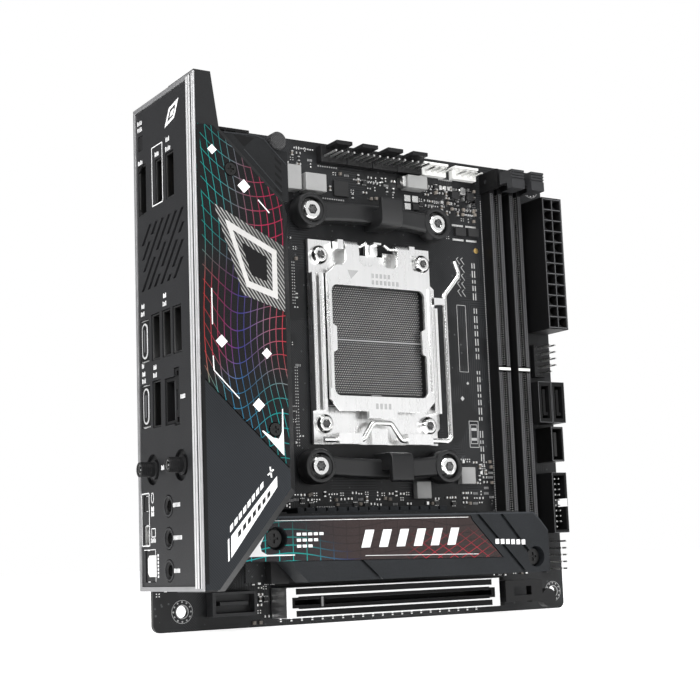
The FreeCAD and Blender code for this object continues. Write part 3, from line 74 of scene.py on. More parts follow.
# ---- materials
class Tree:
    """A material's node tree with short ways to add nodes."""

    def __init__(self, name):
        self.material = bpy.data.materials.new(name)
        self.material.use_nodes = True
        self.nodes = self.material.node_tree.nodes
        self.links = self.material.node_tree.links
        self.shader = self.nodes["Principled BSDF"]
        self.place = self.nodes.new("ShaderNodeTexCoord").outputs["Object"]

    def link(self, value, socket):
        """Feed a socket with another socket's output or a plain value."""
        if isinstance(value, bpy.types.NodeSocket):
            self.links.new(value, socket)
        else:
            socket.default_value = value

    def math(self, operation, first, second=0.0, third=0.0, clamp=False):
        node = self.nodes.new("ShaderNodeMath")
        node.operation = operation
        node.use_clamp = clamp
        for value, socket in zip((first, second, third), node.inputs):
            self.link(value, socket)
        return node.outputs[0]

    def times(self, first, second):
        return self.math("MULTIPLY", first, second)

    def plus(self, first, second):
        return self.math("ADD", first, second)

    def most(self, first, second):
        return self.math("MAXIMUM", first, second)

    def linear(self, value, factor, offset):
        return self.math("MULTIPLY_ADD", value, factor, offset)

    def mm(self):
        """Board coordinates u, v and w as three sockets, in mm."""
        split = self.nodes.new("ShaderNodeSeparateXYZ")
        self.link(self.place, split.inputs[0])
        return (
            self.math("MULTIPLY_ADD", split.outputs[0], 1000.0, ORIGIN_U),
            self.math("MULTIPLY_ADD", split.outputs[2], 1000.0, ORIGIN_V),
            self.math("MULTIPLY_ADD", split.outputs[1], -1000.0, -BOARD_THICK),
        )

    def noise(self, scale, detail=2.0, stretch=(1.0, 1.0, 1.0), roughness=0.5):
        """Noise whose scale is per mm; stretch squeezes it along X, Y or Z."""
        mapping = self.nodes.new("ShaderNodeMapping")
        mapping.inputs["Scale"].default_value = [1000.0 * scale * s for s in stretch]
        self.link(self.place, mapping.inputs["Vector"])
        node = self.nodes.new("ShaderNodeTexNoise")
        node.inputs["Scale"].default_value = 1.0
        node.inputs["Detail"].default_value = detail
        node.inputs["Roughness"].default_value = roughness
        self.link(mapping.outputs[0], node.inputs["Vector"])
        return node.outputs["Fac"]

    def span(self, value, low, high, new_low=0.0, new_high=1.0, smooth=False):
        """Map a range to a new range, clamped."""
        node = self.nodes.new("ShaderNodeMapRange")
        if smooth:
            node.interpolation_type = "SMOOTHSTEP"
        for v, name in ((value, "Value"), (low, "From Min"), (high, "From Max"),
                        (new_low, "To Min"), (new_high, "To Max")):
            self.link(v, node.inputs[name])
        return node.outputs[0]

    def uneven(self, grain, low, high):
        """Follow a grain between two values."""
        return self.span(grain, 0.3, 0.7, low, high)

    def mix(self, factor, first, second):
        node = self.nodes.new("ShaderNodeMix")
        node.data_type = "RGBA"
        self.link(factor, node.inputs["Factor"])
        self.link(first, node.inputs[6])
        self.link(second, node.inputs[7])
        return node.outputs[2]

    def ramp(self, value, *stops):
        node = self.nodes.new("ShaderNodeValToRGB")
        elements = node.color_ramp.elements
        while len(elements) < len(stops):
            elements.new(0.5)
        for element, (position, colour) in zip(elements, stops):
            element.position = position
            element.color = (*colour, 1.0)
        self.link(value, node.inputs[0])
        return node.outputs[0]

    def bump(self, height, strength, depth_mm, normal=None):
        node = self.nodes.new("ShaderNodeBump")
        node.inputs["Strength"].default_value = strength
        node.inputs["Distance"].default_value = depth_mm / 1000
        self.link(height, node.inputs["Height"])
        if normal is not None:
            self.link(normal, node.inputs["Normal"])
        self.link(node.outputs[0], self.shader.inputs["Normal"])
        return node.outputs[0]

    def set(self, **values):
        """Set the shader's sockets, with _ for blanks in their names."""
        for key, value in values.items():
            self.link(value, self.shader.inputs[key.replace("_", " ")])
        return self.material


def rgba(colour, factor=1.0):
    """A colour tuple with alpha, scaled."""
    return (*(min(c * factor, 1.0) for c in colour), 1.0)


def finish_of(name, colour, rough, metal=0.0, mottle=0.12, grain=4.0, grain_strength=0.15,
              grain_depth=0.02, stretch=(1, 1, 1), rough_spread=0.08, specular=0.5):
    """A plain-looking surface: mottled colour, uneven gloss and a fine grain."""
    tree = Tree(name)
    broad = tree.noise(0.12, 3.0)
    fine = tree.noise(grain, 4.0, stretch)
    blend = tree.linear(fine, 0.5, tree.times(broad, 0.5))
    level = tree.span(blend, 0.35, 0.65)
    tree.set(
        Base_Color=tree.mix(level, rgba(colour, 1 - mottle), rgba(colour, 1 + mottle)),
        Metallic=metal,
        Roughness=tree.uneven(fine, max(rough - rough_spread, 0.03), rough + rough_spread),
        Specular_IOR_Level=specular,
    )
    tree.bump(fine, grain_strength, grain_depth)
    return tree.material


def line_mask(tree, value, pitch, width):
    """1 on thin lines at every whole pitch of a value, 0 between them."""
    offset = tree.math("FRACT", tree.math("DIVIDE", value, pitch))
    edge = tree.math("ABSOLUTE", tree.math("SUBTRACT", offset, 0.5))
    half = width / pitch / 2
    return tree.span(edge, 0.5 - half * 1.6, 0.5 - half * 0.6, smooth=True)


def board_mask():
    """Black solder mask over bundles of tracks in four directions, with vias."""
    tree = Tree("solder_mask")
    u, v, w = tree.mm()
    voronoi = tree.nodes.new("ShaderNodeTexVoronoi")
    voronoi.distance = "CHEBYCHEV"
    voronoi.inputs["Scale"].default_value = 75.0
    voronoi.inputs["Randomness"].default_value = 0.85
    tree.link(tree.place, voronoi.inputs["Vector"])
    pick = tree.nodes.new("ShaderNodeSeparateColor")
    tree.link(voronoi.outputs["Color"], pick.inputs[0])
    slope = tree.math("SUBTRACT", tree.math("ROUND", tree.times(pick.outputs[0], 3.0)), 1.0)
    along_u = tree.math("GREATER_THAN", pick.outputs[1], 0.55)
    straight = tree.linear(slope, v, u)
    across = tree.linear(slope, u, v)
    value = tree.plus(tree.times(along_u, straight),
                      tree.times(tree.math("SUBTRACT", 1.0, along_u), across))
    tracks = line_mask(tree, value, 0.9, 0.36)
    patches = tree.span(tree.noise(0.05, 2.0), 0.46, 0.52, smooth=True)
    chosen = tree.times(tracks, patches)
    dots = tree.nodes.new("ShaderNodeTexVoronoi")
    dots.inputs["Scale"].default_value = 420.0
    tree.link(tree.place, dots.inputs["Vector"])
    via = tree.span(dots.outputs["Distance"], 0.13, 0.17, 1.0, 0.0)
    via = tree.times(via, tree.span(tree.noise(0.11, 1.0), 0.52, 0.58))
    grain = tree.noise(5.0, 3.0)
    base = tree.mix(tree.span(grain, 0.3, 0.7), rgba((0.0062, 0.0065, 0.007)), rgba((0.010, 0.0104, 0.011)))
    lines = tree.mix(chosen, base, rgba((0.021, 0.022, 0.024)))
    edge = tree.times(tree.math("GREATER_THAN", w, -1.45), tree.math("LESS_THAN", w, -0.12))
    laminate = tree.mix(edge, tree.mix(via, lines, rgba((0.06, 0.062, 0.065))), rgba((0.018, 0.018, 0.016)))
    height = tree.linear(grain, 0.12, tree.most(chosen, via))
    tree.bump(height, 0.35, 0.05)
    return tree.set(Base_Color=laminate, Roughness=tree.uneven(grain, 0.36, 0.48), Specular_IOR_Level=0.3)


def printed_cover():
    """Gloss print: a warped net of thin lines whose colour drifts, on black."""
    tree = Tree("printed_cover")
    u, v, w = tree.mm()
    wave = tree.math("SINE", tree.linear(v, 0.085, 0.4))
    bow = tree.times(tree.times(u, u), -0.028)
    flow = tree.plus(tree.times(u, 0.95), bow)
    lower = tree.span(v, 82.0, 112.0, 1.0, 0.0, smooth=True)
    swell = tree.times(lower, tree.times(tree.math("SINE", tree.times(u, 0.21)), 4.5))
    rows = tree.plus(tree.plus(v, flow), swell)
    sway = tree.times(wave, tree.linear(u, 0.05, 1.3))
    columns = tree.plus(tree.linear(v, 0.05, u), sway)
    net = tree.most(line_mask(tree, rows, 4.6, 0.24), line_mask(tree, columns, 2.35, 0.20))
    reach = tree.math("DIVIDE", u, 27.5)
    top = tree.ramp(reach, (0.0, (0.0, 0.30, 0.27)), (0.22, (0.02, 0.20, 0.20)), (0.45, (0.18, 0.13, 0.16)),
                    (0.72, (0.50, 0.02, 0.09)), (1.0, (0.45, 0.015, 0.07)))
    middle = tree.ramp(reach, (0.0, (0.42, 0.03, 0.03)), (0.22, (0.22, 0.02, 0.10)),
                       (0.42, (0.03, 0.04, 0.24)),
                       (0.7, (0.25, 0.13, 0.20)), (1.0, (0.55, 0.02, 0.03)))
    bottom = tree.ramp(reach, (0.0, (0.0, 0.42, 0.30)), (0.3, (0.02, 0.20, 0.36)), (0.55, (0.03, 0.24, 0.40)),
                       (0.8, (0.0, 0.40, 0.38)), (1.0, (0.0, 0.36, 0.36)))
    colour = tree.mix(tree.span(v, 68.0, 86.0, smooth=True), bottom, middle)
    colour = tree.mix(tree.span(v, 104.0, 122.0, smooth=True), colour, top)
    fade = tree.span(tree.noise(0.06, 2.0), 0.3, 0.65, 0.28, 0.72)
    grain = tree.noise(6.0, 2.0)
    black = tree.mix(grain, rgba((0.003, 0.003, 0.0035)), rgba((0.006, 0.006, 0.0065)))
    tree.bump(tree.linear(net, 0.6, grain), 0.10, 0.02)
    return tree.set(Base_Color=tree.mix(tree.times(net, fade), black, colour),
                    Roughness=tree.uneven(grain, 0.26, 0.36), Specular_IOR_Level=0.22)


def printed_label():
    """Gloss dark band of the storage heatsink: a net that goes from teal to blue to brown and red."""
    tree = Tree("printed_label")
    u, v, w = tree.mm()
    ripple = tree.math("SINE", tree.times(u, 0.14))
    rows = tree.linear(ripple, 1.3, v)
    net = tree.most(line_mask(tree, rows, 2.5, 0.30), line_mask(tree, u, 5.0, 0.26))
    slant = tree.linear(v, 1.5, u)
    rays = tree.most(line_mask(tree, tree.linear(v, -1.9, u), 5.2, 0.30),
                     line_mask(tree, slant, 6.5, 0.26))
    left_zone = tree.span(tree.linear(v, 1.7, u), 62.0, 100.0, 1.0, 0.0, smooth=True)
    right_zone = tree.times(tree.span(u, 76.0, 88.0, smooth=True), tree.span(u, 108.0, 118.0, 1.0, 0.0))
    right_zone = tree.times(right_zone, tree.span(v, 21.0, 31.0, 1.0, 0.0))
    colour = tree.ramp(tree.math("DIVIDE", u, 80.0), (0.1, (0.0, 0.30, 0.34)), (0.5, (0.0, 0.34, 0.30)),
                       (0.72, (0.03, 0.05, 0.40)), (0.85, (0.05, 0.02, 0.22)))
    grain = tree.noise(7.0, 3.0)
    brown = tree.mix(tree.span(u, 30.0, 62.0, smooth=True), rgba((0.008, 0.009, 0.012)),
                     rgba((0.024, 0.015, 0.014)))
    brown = tree.mix(tree.times(grain, 0.4), brown, rgba((0.03, 0.02, 0.02)))
    faint = tree.mix(tree.times(net, 0.5), brown, rgba((0.006, 0.005, 0.005)))
    teal = tree.mix(tree.times(net, left_zone), faint, colour)
    red = tree.mix(tree.times(rays, right_zone), teal, rgba((0.42, 0.01, 0.03)))
    tree.bump(grain, 0.08, 0.02)
    return tree.set(Base_Color=red, Roughness=tree.uneven(grain, 0.2, 0.3), Specular_IOR_Level=0.25)


def brushed_cover():
    """Dark sheet brushed along a diagonal."""
    tree = Tree("brushed_cover")
    u, v, w = tree.mm()
    slant = tree.plus(tree.times(u, 0.72), tree.times(v, 0.69))
    lines = line_mask(tree, slant, 0.62, 0.3)
    fine = tree.noise(3.0, 3.0, (1.0, 1.0, 1.0))
    sheen = tree.span(tree.noise(0.03, 1.0), 0.3, 0.7)
    shade = tree.linear(lines, 0.35, tree.times(sheen, 0.4))
    tree.bump(tree.linear(lines, 0.7, tree.times(fine, 0.3)), 0.25, 0.03)
    return tree.set(Base_Color=tree.mix(shade, rgba((0.009, 0.0105, 0.0125)), rgba((0.030, 0.034, 0.040))),
                    Metallic=0.55, Roughness=tree.uneven(fine, 0.36, 0.46))


def mouth_with_painted_shade(name, rim, inside, depth_u):
    """Sheet metal that is bright at its lip, with painted shade darkening it further inside."""
    tree = Tree(name)
    u, v, w = tree.mm()
    # painted shade: past depth_u the colour turns to the dark inside colour and the metal goes away
    inner = tree.span(u, depth_u - 0.2, depth_u + 0.25)
    grain = tree.noise(5.0, 3.0)
    lip = tree.mix(grain, rgba(rim, 0.85), rgba(rim, 1.1))
    tree.bump(grain, 0.1, 0.02)
    return tree.set(Base_Color=tree.mix(inner, lip, rgba(inside)),
                    Metallic=tree.span(inner, 0.0, 1.0, 1.0, 0.0),
                    Roughness=tree.uneven(grain, 0.28, 0.42))


def blasted(name, colour, rough=0.5):
    """Bead-blasted anodised aluminium with a lively fine sparkle."""
    tree = Tree(name)
    grain = tree.noise(2.6, 6.0, roughness=0.75)
    broad = tree.noise(0.08, 2.0)
    shade = tree.linear(grain, 0.8, tree.times(broad, 0.2))
    tree.bump(grain, 0.35, 0.06)
    return tree.set(Base_Color=tree.mix(tree.span(shade, 0.32, 0.68), rgba(colour, 0.45), rgba(colour, 1.75)),
                    Metallic=0.35, Roughness=tree.uneven(grain, rough - 0.08, rough + 0.1),
                    Specular_IOR_Level=0.35)


def brushed_steel(name, colour, rough, direction):
    """Rolled sheet with faint long scratches and soft smears."""
    tree = Tree(name)
    scratches = tree.noise(1.2, 5.0, direction, 0.65)
    smears = tree.noise(0.05, 2.0)
    tree.bump(scratches, 0.035, 0.01)
    shade = tree.linear(scratches, 0.6, tree.times(smears, 0.4))
    return tree.set(Base_Color=tree.mix(tree.span(shade, 0.3, 0.7), rgba(colour, 0.95), rgba(colour, 1.03)),
                    Metallic=1.0, Roughness=tree.uneven(shade, rough - 0.05, rough + 0.07))


def knurled(name, colour):
    """Plastic with a crossed knurl."""
    tree = Tree(name)
    u, v, w = tree.mm()
    first = line_mask(tree, tree.plus(u, v), 0.8, 0.35)
    second = line_mask(tree, tree.math("SUBTRACT", u, v), 0.8, 0.35)
    cross = tree.most(first, second)
    tree.bump(cross, 0.6, 0.15)
    return tree.set(Base_Color=tree.mix(cross, rgba(colour, 1.5), rgba(colour, 0.5)),
                    Roughness=tree.uneven(tree.noise(4.0), 0.42, 0.55))


def hatched_print():
    """Slanting light and dark lines."""
    tree = Tree("hatched_print")
    u, v, w = tree.mm()
    lines = line_mask(tree, tree.linear(v, 0.72, u), 1.15, 0.34)
    grain = tree.noise(6.0, 2.0)
    tree.bump(lines, 0.3, 0.05)
    return tree.set(Base_Color=tree.mix(lines, rgba((0.006, 0.006, 0.0065)), rgba((0.34, 0.34, 0.33))),
                    Roughness=tree.uneven(grain, 0.32, 0.45))


M = {
    "mask": board_mask(),
    "print": printed_cover(),
    "label": printed_label(),
    "brushed": brushed_cover(),
    "plastic": finish_of("black_plastic", (0.0065, 0.0065, 0.007), 0.46, grain=3.0, grain_strength=0.2,
                         specular=0.3),
    # black plastic parts, and dark sheets of painted shade in mouths, vents, slots and the bezel's fold
    "deep_black_and_shade": finish_of("deep_black_plastic_and_shade", (0.0035, 0.0035, 0.0038), 0.55, specular=0.2),
    "plastic_grey": finish_of("grey_moulding", (0.022, 0.0225, 0.024), 0.48, grain=3.0, specular=0.35),
    "bracket": finish_of("bracket_plastic", (0.0095, 0.0097, 0.0102), 0.38, grain=1.6, grain_strength=0.25,
                         grain_depth=0.04, specular=0.45),
    "white": finish_of("white_plastic", (0.78, 0.78, 0.76), 0.45, mottle=0.04),
    "ink": finish_of("white_ink", (0.80, 0.80, 0.80), 0.55, mottle=0.06, grain=8.0),
    "ink_grey": finish_of("grey_ink", (0.28, 0.28, 0.28), 0.6, mottle=0.1, grain=8.0),
    "panel": finish_of("panel_paint", (0.0135, 0.0137, 0.0148), 0.46, grain=3.5, grain_strength=0.18,
                       specular=0.3),
    "cover": finish_of("cover_paint", (0.0085, 0.0088, 0.0095), 0.42, grain=4.0, grain_strength=0.2,
                       specular=0.35),
    "bevel": finish_of("cover_edge", (0.020, 0.0215, 0.024), 0.40, metal=0.3, grain=4.0, grain_strength=0.2),
    "rim": finish_of("rim_metal", (0.36, 0.36, 0.365), 0.44, metal=0.75, grain=2.0, stretch=(1, 1, 0.1),
                     mottle=0.1),
    "steel": brushed_steel("load_steel", (0.90, 0.90, 0.895), 0.27, (1.0, 1.0, 0.06)),
    "wire": brushed_steel("wire_steel", (0.88, 0.88, 0.87), 0.2, (0.3, 1.0, 0.3)),
    "chrome": brushed_steel("screw_chrome", (0.88, 0.88, 0.87), 0.11, (1.0, 1.0, 1.0)),
    "shield": brushed_steel("slot_steel", (0.80, 0.80, 0.80), 0.30, (0.05, 1.0, 1.0)),
    "dark_screw": finish_of("dark_screw", (0.03, 0.03, 0.03), 0.35, metal=0.8),
    "gold": finish_of("gold_plate", (0.80, 0.55, 0.20), 0.28, metal=1.0, mottle=0.08),
    "tin": finish_of("tinned", (0.72, 0.72, 0.71), 0.3, metal=1.0, mottle=0.15, grain=6.0),
    "ferrite": finish_of("pressed_ferrite", (0.30, 0.30, 0.297), 0.55, metal=0.15, grain=5.0, mottle=0.1),
    "dark_ferrite": finish_of("dark_ferrite", (0.032, 0.032, 0.034), 0.5, grain=5.0),
    "resin": finish_of("chip_resin", (0.012, 0.012, 0.0125), 0.45, grain=6.0, grain_strength=0.3),
    "ceramic": finish_of("ceramic_tan", (0.17, 0.15, 0.13), 0.5, mottle=0.15),
    "pad": finish_of("thermal_pad", (0.30, 0.32, 0.38), 0.8),
    "sink": blasted("sink_blasted", (0.0115, 0.013, 0.015)),
    "sink_light": blasted("sink_top_edge", (0.028, 0.031, 0.035), 0.44),
    "fin": blasted("vrm_blasted", (0.0085, 0.009, 0.0098), 0.5),
    "usb": mouth_with_painted_shade("usb_mouth", (0.10, 0.10, 0.10), (0.002, 0.002, 0.002), -2.35),
    "type_c": mouth_with_painted_shade("type_c_mouth", (0.85, 0.85, 0.84), (0.05, 0.05, 0.05), -0.2),
    "knurl": knurled("thumb_knurl", (0.03, 0.03, 0.031)),
    "hatch": hatched_print(),
    "silver_print": finish_of("silver_print", (0.66, 0.65, 0.635), 0.36, metal=0.6, mottle=0.08, grain=3.0,
                              grain_strength=0.05),
    "contact": finish_of("contact_metal", (0.62, 0.62, 0.60), 0.35, metal=0.9, mottle=0.2, grain=6.0),
    # painted shade inside the screws' driver recesses
    "recess": finish_of("driver_recess", (0.13, 0.13, 0.13), 0.3, metal=0.9, mottle=0.3, grain=2.0),
    "engraved": finish_of("engraved_steel", (0.52, 0.52, 0.52), 0.5, metal=0.9),
    "strip": finish_of("memory_strip_grey", (0.065, 0.065, 0.068), 0.5, grain=6.0, specular=0.3),
    "silk": finish_of("silkscreen", (0.40, 0.40, 0.40), 0.65, mottle=0.15, grain=9.0),
    # silver for the USB-C shells, and painted highlights on the bezel's folds
    "silver_and_highlight": finish_of("silver_and_fold_highlight", (0.72, 0.72, 0.72), 0.35, metal=0.45, mottle=0.08, grain=3.0),
    # grey for tongues and contacts, and painted edge highlights on the power sockets
    "edge_line": finish_of("grey_and_edge_highlight", (0.085, 0.086, 0.09), 0.45, grain=6.0),
}


# ---- shapes
def rect(a0, a1, b0, b1):
    """The corners of a rectangle."""
    return [(a0, b0), (a1, b0), (a1, b1), (a0, b1)]


def outline(a0, a1, b0, b1):
    """A closed path round a rectangle."""
    return [*rect(a0, a1, b0, b1), (a0, b0)]


def diamond(a, b, half):
    """The corners of a square that stands on one of them."""
    return [(a - half, b), (a, b - half), (a + half, b), (a, b + half)]


def steps(start, stop, step):
    """Places from start up to stop, one step apart."""
    while start < stop:
        yield start
        start += step


class Shape:
    """Solids collected in board coordinates, finished as one piece."""

    ORDER = {
        "w": lambda a, b, c: (a, b, c),
        "u": lambda a, b, c: (c, a, b),
        "v": lambda a, b, c: (b, c, a),
    }

    def __init__(self):
        self.bm = bmesh.new()

    def prism(self, points, low, high, across="w", taper=1.0):
        """A polygon swept from low to high; across w it lies in (u, v), across u in (v, w)."""
        order = self.ORDER[across]
        middle_a = sum(p[0] for p in points) / len(points)
        middle_b = sum(p[1] for p in points) / len(points)
        first = [self.bm.verts.new(order(a, b, low)) for a, b in points]
        last = [
            self.bm.verts.new(order(
                middle_a + (a - middle_a) * taper, middle_b + (b - middle_b) * taper, high))
            for a, b in points
        ]
        self.bm.faces.new(list(reversed(first)))
        self.bm.faces.new(last)
        count = len(points)
        for i in range(count):
            j = (i + 1) % count
            self.bm.faces.new((first[i], first[j], last[j], last[i]))
        return self

    def box(self, u0, u1, v0, v1, w0, w1, taper=1.0):
        return self.prism(rect(u0, u1, v0, v1), w0, w1, taper=taper)

    def lathe(self, axis, centre, profile, sides=32, turn=0.0):
        """A profile of (radius, height) turned about an axis through a point."""
        order = self.ORDER[axis]
        ax, bx = {"w": (0, 1), "u": (1, 2), "v": (2, 0)}[axis]
        along = {"w": 2, "u": 0, "v": 1}[axis]
        rings = []
        for radius, height in profile:
            if radius <= 1e-6:
                rings.append([self.bm.verts.new(order(centre[ax], centre[bx], centre[along] + height))])
                continue
            rings.append([
                self.bm.verts.new(order(
                    centre[ax] + radius * math.cos(turn + 2 * math.pi * i / sides),
                    centre[bx] + radius * math.sin(turn + 2 * math.pi * i / sides),
                    centre[along] + height,
                ))
                for i in range(sides)
            ])
        for below, above in zip(rings, rings[1:]):
            for i in range(sides):
                j = (i + 1) % sides
                corners = [below[i % len(below)], below[j % len(below)], above[j % len(above)],
                           above[i % len(above)]]
                unique = list(dict.fromkeys(corners))
                if len(unique) > 2:
                    self.bm.faces.new(unique)
        closed = rings[0][0].co == rings[-1][0].co
        if not closed:
            for ring in (rings[0], rings[-1]):
                if len(ring) > 2:
                    self.bm.faces.new(ring)
        return self

    def ring(self, axis, centre, outer, inner, height, sides=32):
        """A flat washer or tube."""
        return self.lathe(axis, centre,
                          [(outer, 0), (outer, height), (inner, height), (inner, 0), (outer, 0)], sides)

    def stroke(self, points, width, low, high, across="w"):
        """A thin line of even width through points."""
        for (a0, b0), (a1, b1) in zip(points, points[1:]):
            length = math.hypot(a1 - a0, b1 - b0)
            na, nb = -(b1 - b0) / length * width / 2, (a1 - a0) / length * width / 2
            self.prism([(a0 + na, b0 + nb), (a0 - na, b0 - nb), (a1 - na, b1 - nb), (a1 + na, b1 + nb)],
                       low, high, across)
        return self

    def frame(self, points, scale, low, high, across="w"):
        """A closed band between a polygon and its smaller copy."""
        a = sum(p[0] for p in points) / len(points)
        b = sum(p[1] for p in points) / len(points)
        inner = [(a + (x - a) * scale, b + (y - b) * scale) for x, y in points]
        for i in range(len(points)):
            j = (i + 1) % len(points)
            self.prism([points[i], points[j], inner[j], inner[i]], low, high, across)
        return self

    def dashes(self, a, b, count, pitch, size, low, high, across="w", step_b=0.0):
        """A row of small bars that stands in for a printed word."""
        for index in range(count):
            x, y = a + pitch * index, b + step_b * index
            self.prism([(x, y), (x + size[0], y), (x + size[0], y + size[1]), (x, y + size[1])], low, high,
                       across)
        return self

    def finish(self, name, key, body="board", slot="black_plastic", bevel=0.0, segments=2, replaces=(),
               smooth=35.0):
        """Turn the collected solids into a piece."""
        bmesh.ops.remove_doubles(self.bm, verts=self.bm.verts, dist=1e-5)
        bmesh.ops.recalc_face_normals(self.bm, faces=self.bm.faces)
        self.bm.transform(FROM_MM)
        mesh = bpy.data.meshes.new(name)
        self.bm.to_mesh(mesh)
        self.bm.free()
        return dress(mesh, name, key, body, slot, bevel, segments, replaces, smooth)


def dress(mesh, name, key, body, slot, bevel, segments, replaces, smooth):
    """Make a mesh a finished piece: material, shading, rounded edges and body."""
    mesh.materials.clear()
    mesh.materials.append(M[key])
    mesh.shade_smooth()
    mesh.set_sharp_from_angle(angle=math.radians(smooth))
    piece = bpy.data.objects.new(name, mesh)
    bpy.context.scene.collection.objects.link(piece)
    if bevel:
        round_off = piece.modifiers.new("Rounded", "BEVEL")
        round_off.width = bevel / 1000
        round_off.segments = segments
        round_off.limit_method = "ANGLE"
        round_off.angle_limit = math.radians(40)
        round_off.harden_normals = True
    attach(piece, body)
    if replaces:
        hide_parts(*replaces)
    return piece


def paint(node, key):
    """Give a CAD node that stays as it is a material."""
    target = frame["nodes"][node]
    for index in range(len(target.material_slots)):
        target.material_slots[index].material = M[key]


def refine(node, key, bevel=0.12, segments=2, smooth=30.0):
    """Show a CAD node as a copy with rounded edges."""
    mesh = frame["nodes"][node].data.copy()
    work = bmesh.new()
    work.from_mesh(mesh)
    bmesh.ops.remove_doubles(work, verts=work.verts, dist=2e-6)
    bmesh.ops.dissolve_limit(work, angle_limit=math.radians(0.6), verts=work.verts, edges=work.edges)
    work.to_mesh(mesh)
    work.free()
    return dress(mesh, node + "_finish", key, BODY[node], SLOT[node], bevel, segments, (node,), smooth)


# ---- CAD nodes that keep their shape
KEPT = {
    "pcb": "mask", "thermal_pads": "pad", "vrm_mosfets": "resin", "ssd_board": "mask",
    "ssd_riser_board": "mask",
    "power_pins": "gold", "socket_contacts": "dark_ferrite", "load_lever": "wire", "ilm_hinge_wire": "wire",
    "rear_port_housings": "deep_black_and_shade", "clock_battery": "tin", "header_pins": "tin",
}
for node, key in KEPT.items():
    paint(node, key)

# node: (material, bevel in mm)
REFINED = {
    "io_panel": ("panel", 0.10), "io_cover": ("cover", 0.25), "cover_print_panel": ("print", 0.08),
    "cover_brushed_panel": ("brushed", 0.08), "usb_a_ports": ("usb", 0.05), "usb_c_ports": ("type_c", 0.05),
    "hdmi_port": ("usb", 0.05), "lan_port": ("deep_black_and_shade", 0.12), "spdif_port": ("plastic", 0.12),
    "audio_jacks": ("plastic", 0.12), "antenna_connectors": ("plastic", 0.12),
    "clear_cmos_button": ("plastic", 0.15), "bios_flashback_button": ("plastic", 0.15),
    "vrm_heatsink": ("fin", 0.2), "vrm_inductors": ("dark_ferrite", 0.3), "inductors": ("ferrite", 0.3),
    "chips": ("resin", 0.08), "wifi_module": ("tin", 0.15), "front_audio_connector": ("plastic_grey", 0.08),
    "socket_body": ("plastic", 0.12), "ilm_frame": ("steel", 0.2), "load_plate": ("steel", 0.22),
    "socket_backplate": ("dark_screw", 0.3), "dimm_slot_1": ("deep_black_and_shade", 0.12),
    "dimm_slot_2": ("deep_black_and_shade", 0.12), "dimm_latch_1": ("plastic_grey", 0.12),
    "dimm_latch_2": ("plastic_grey", 0.12), "atx_power_24": ("deep_black_and_shade", 0.08),
    "eps_power_8": ("deep_black_and_shade", 0.08), "pin_headers": ("plastic", 0.1), "fan_headers": ("plastic", 0.12),
    "rgb_headers": ("white", 0.12), "sata_ports": ("deep_black_and_shade", 0.15), "front_usb_c_header": ("usb", 0.1),
    "usb3_header": ("deep_black_and_shade", 0.15), "pcie_slot": ("deep_black_and_shade", 0.1), "pcie_shield": ("shield", 0.2),
    "pcie_latch": ("plastic", 0.25), "chipset_heatsink": ("sink", 0.15), "ssd_slots": ("plastic", 0.12),
    "ssd_heatsink": ("sink", 0.3), "ssd_label_plate": ("label", 0.06), "cover_screws": ("dark_screw", 0.1),
    "io_bezel": ("rim", 0.1), "bracket_screws": ("chrome", 0.2), "ilm_screws": ("chrome", 0.2),
}
for node, (key, bevel) in REFINED.items():
    refine(node, key, bevel)


# ---- rear panel
PANEL = -2.9
COVER = 43.2
BEZEL_FACE = -3.35
JACK_HEIGHTS = (19.7, 29.6, 39.5)
JACK_OUT = 19.3
AERIAL_HEIGHT = 51.6
AERIALS_OUT = (8.0, 28.9)
USB_C_MOUTHS = ((93.6, 3.3), (72.3, 3.6))
USB_A_MOUTHS = ((144.1, 16.7), (144.1, 24.5), (93.9, 11.8), (93.9, 20.0), (93.9, 27.9), (72.3, 11.9))
VIDEO_MOUTH = 144.2


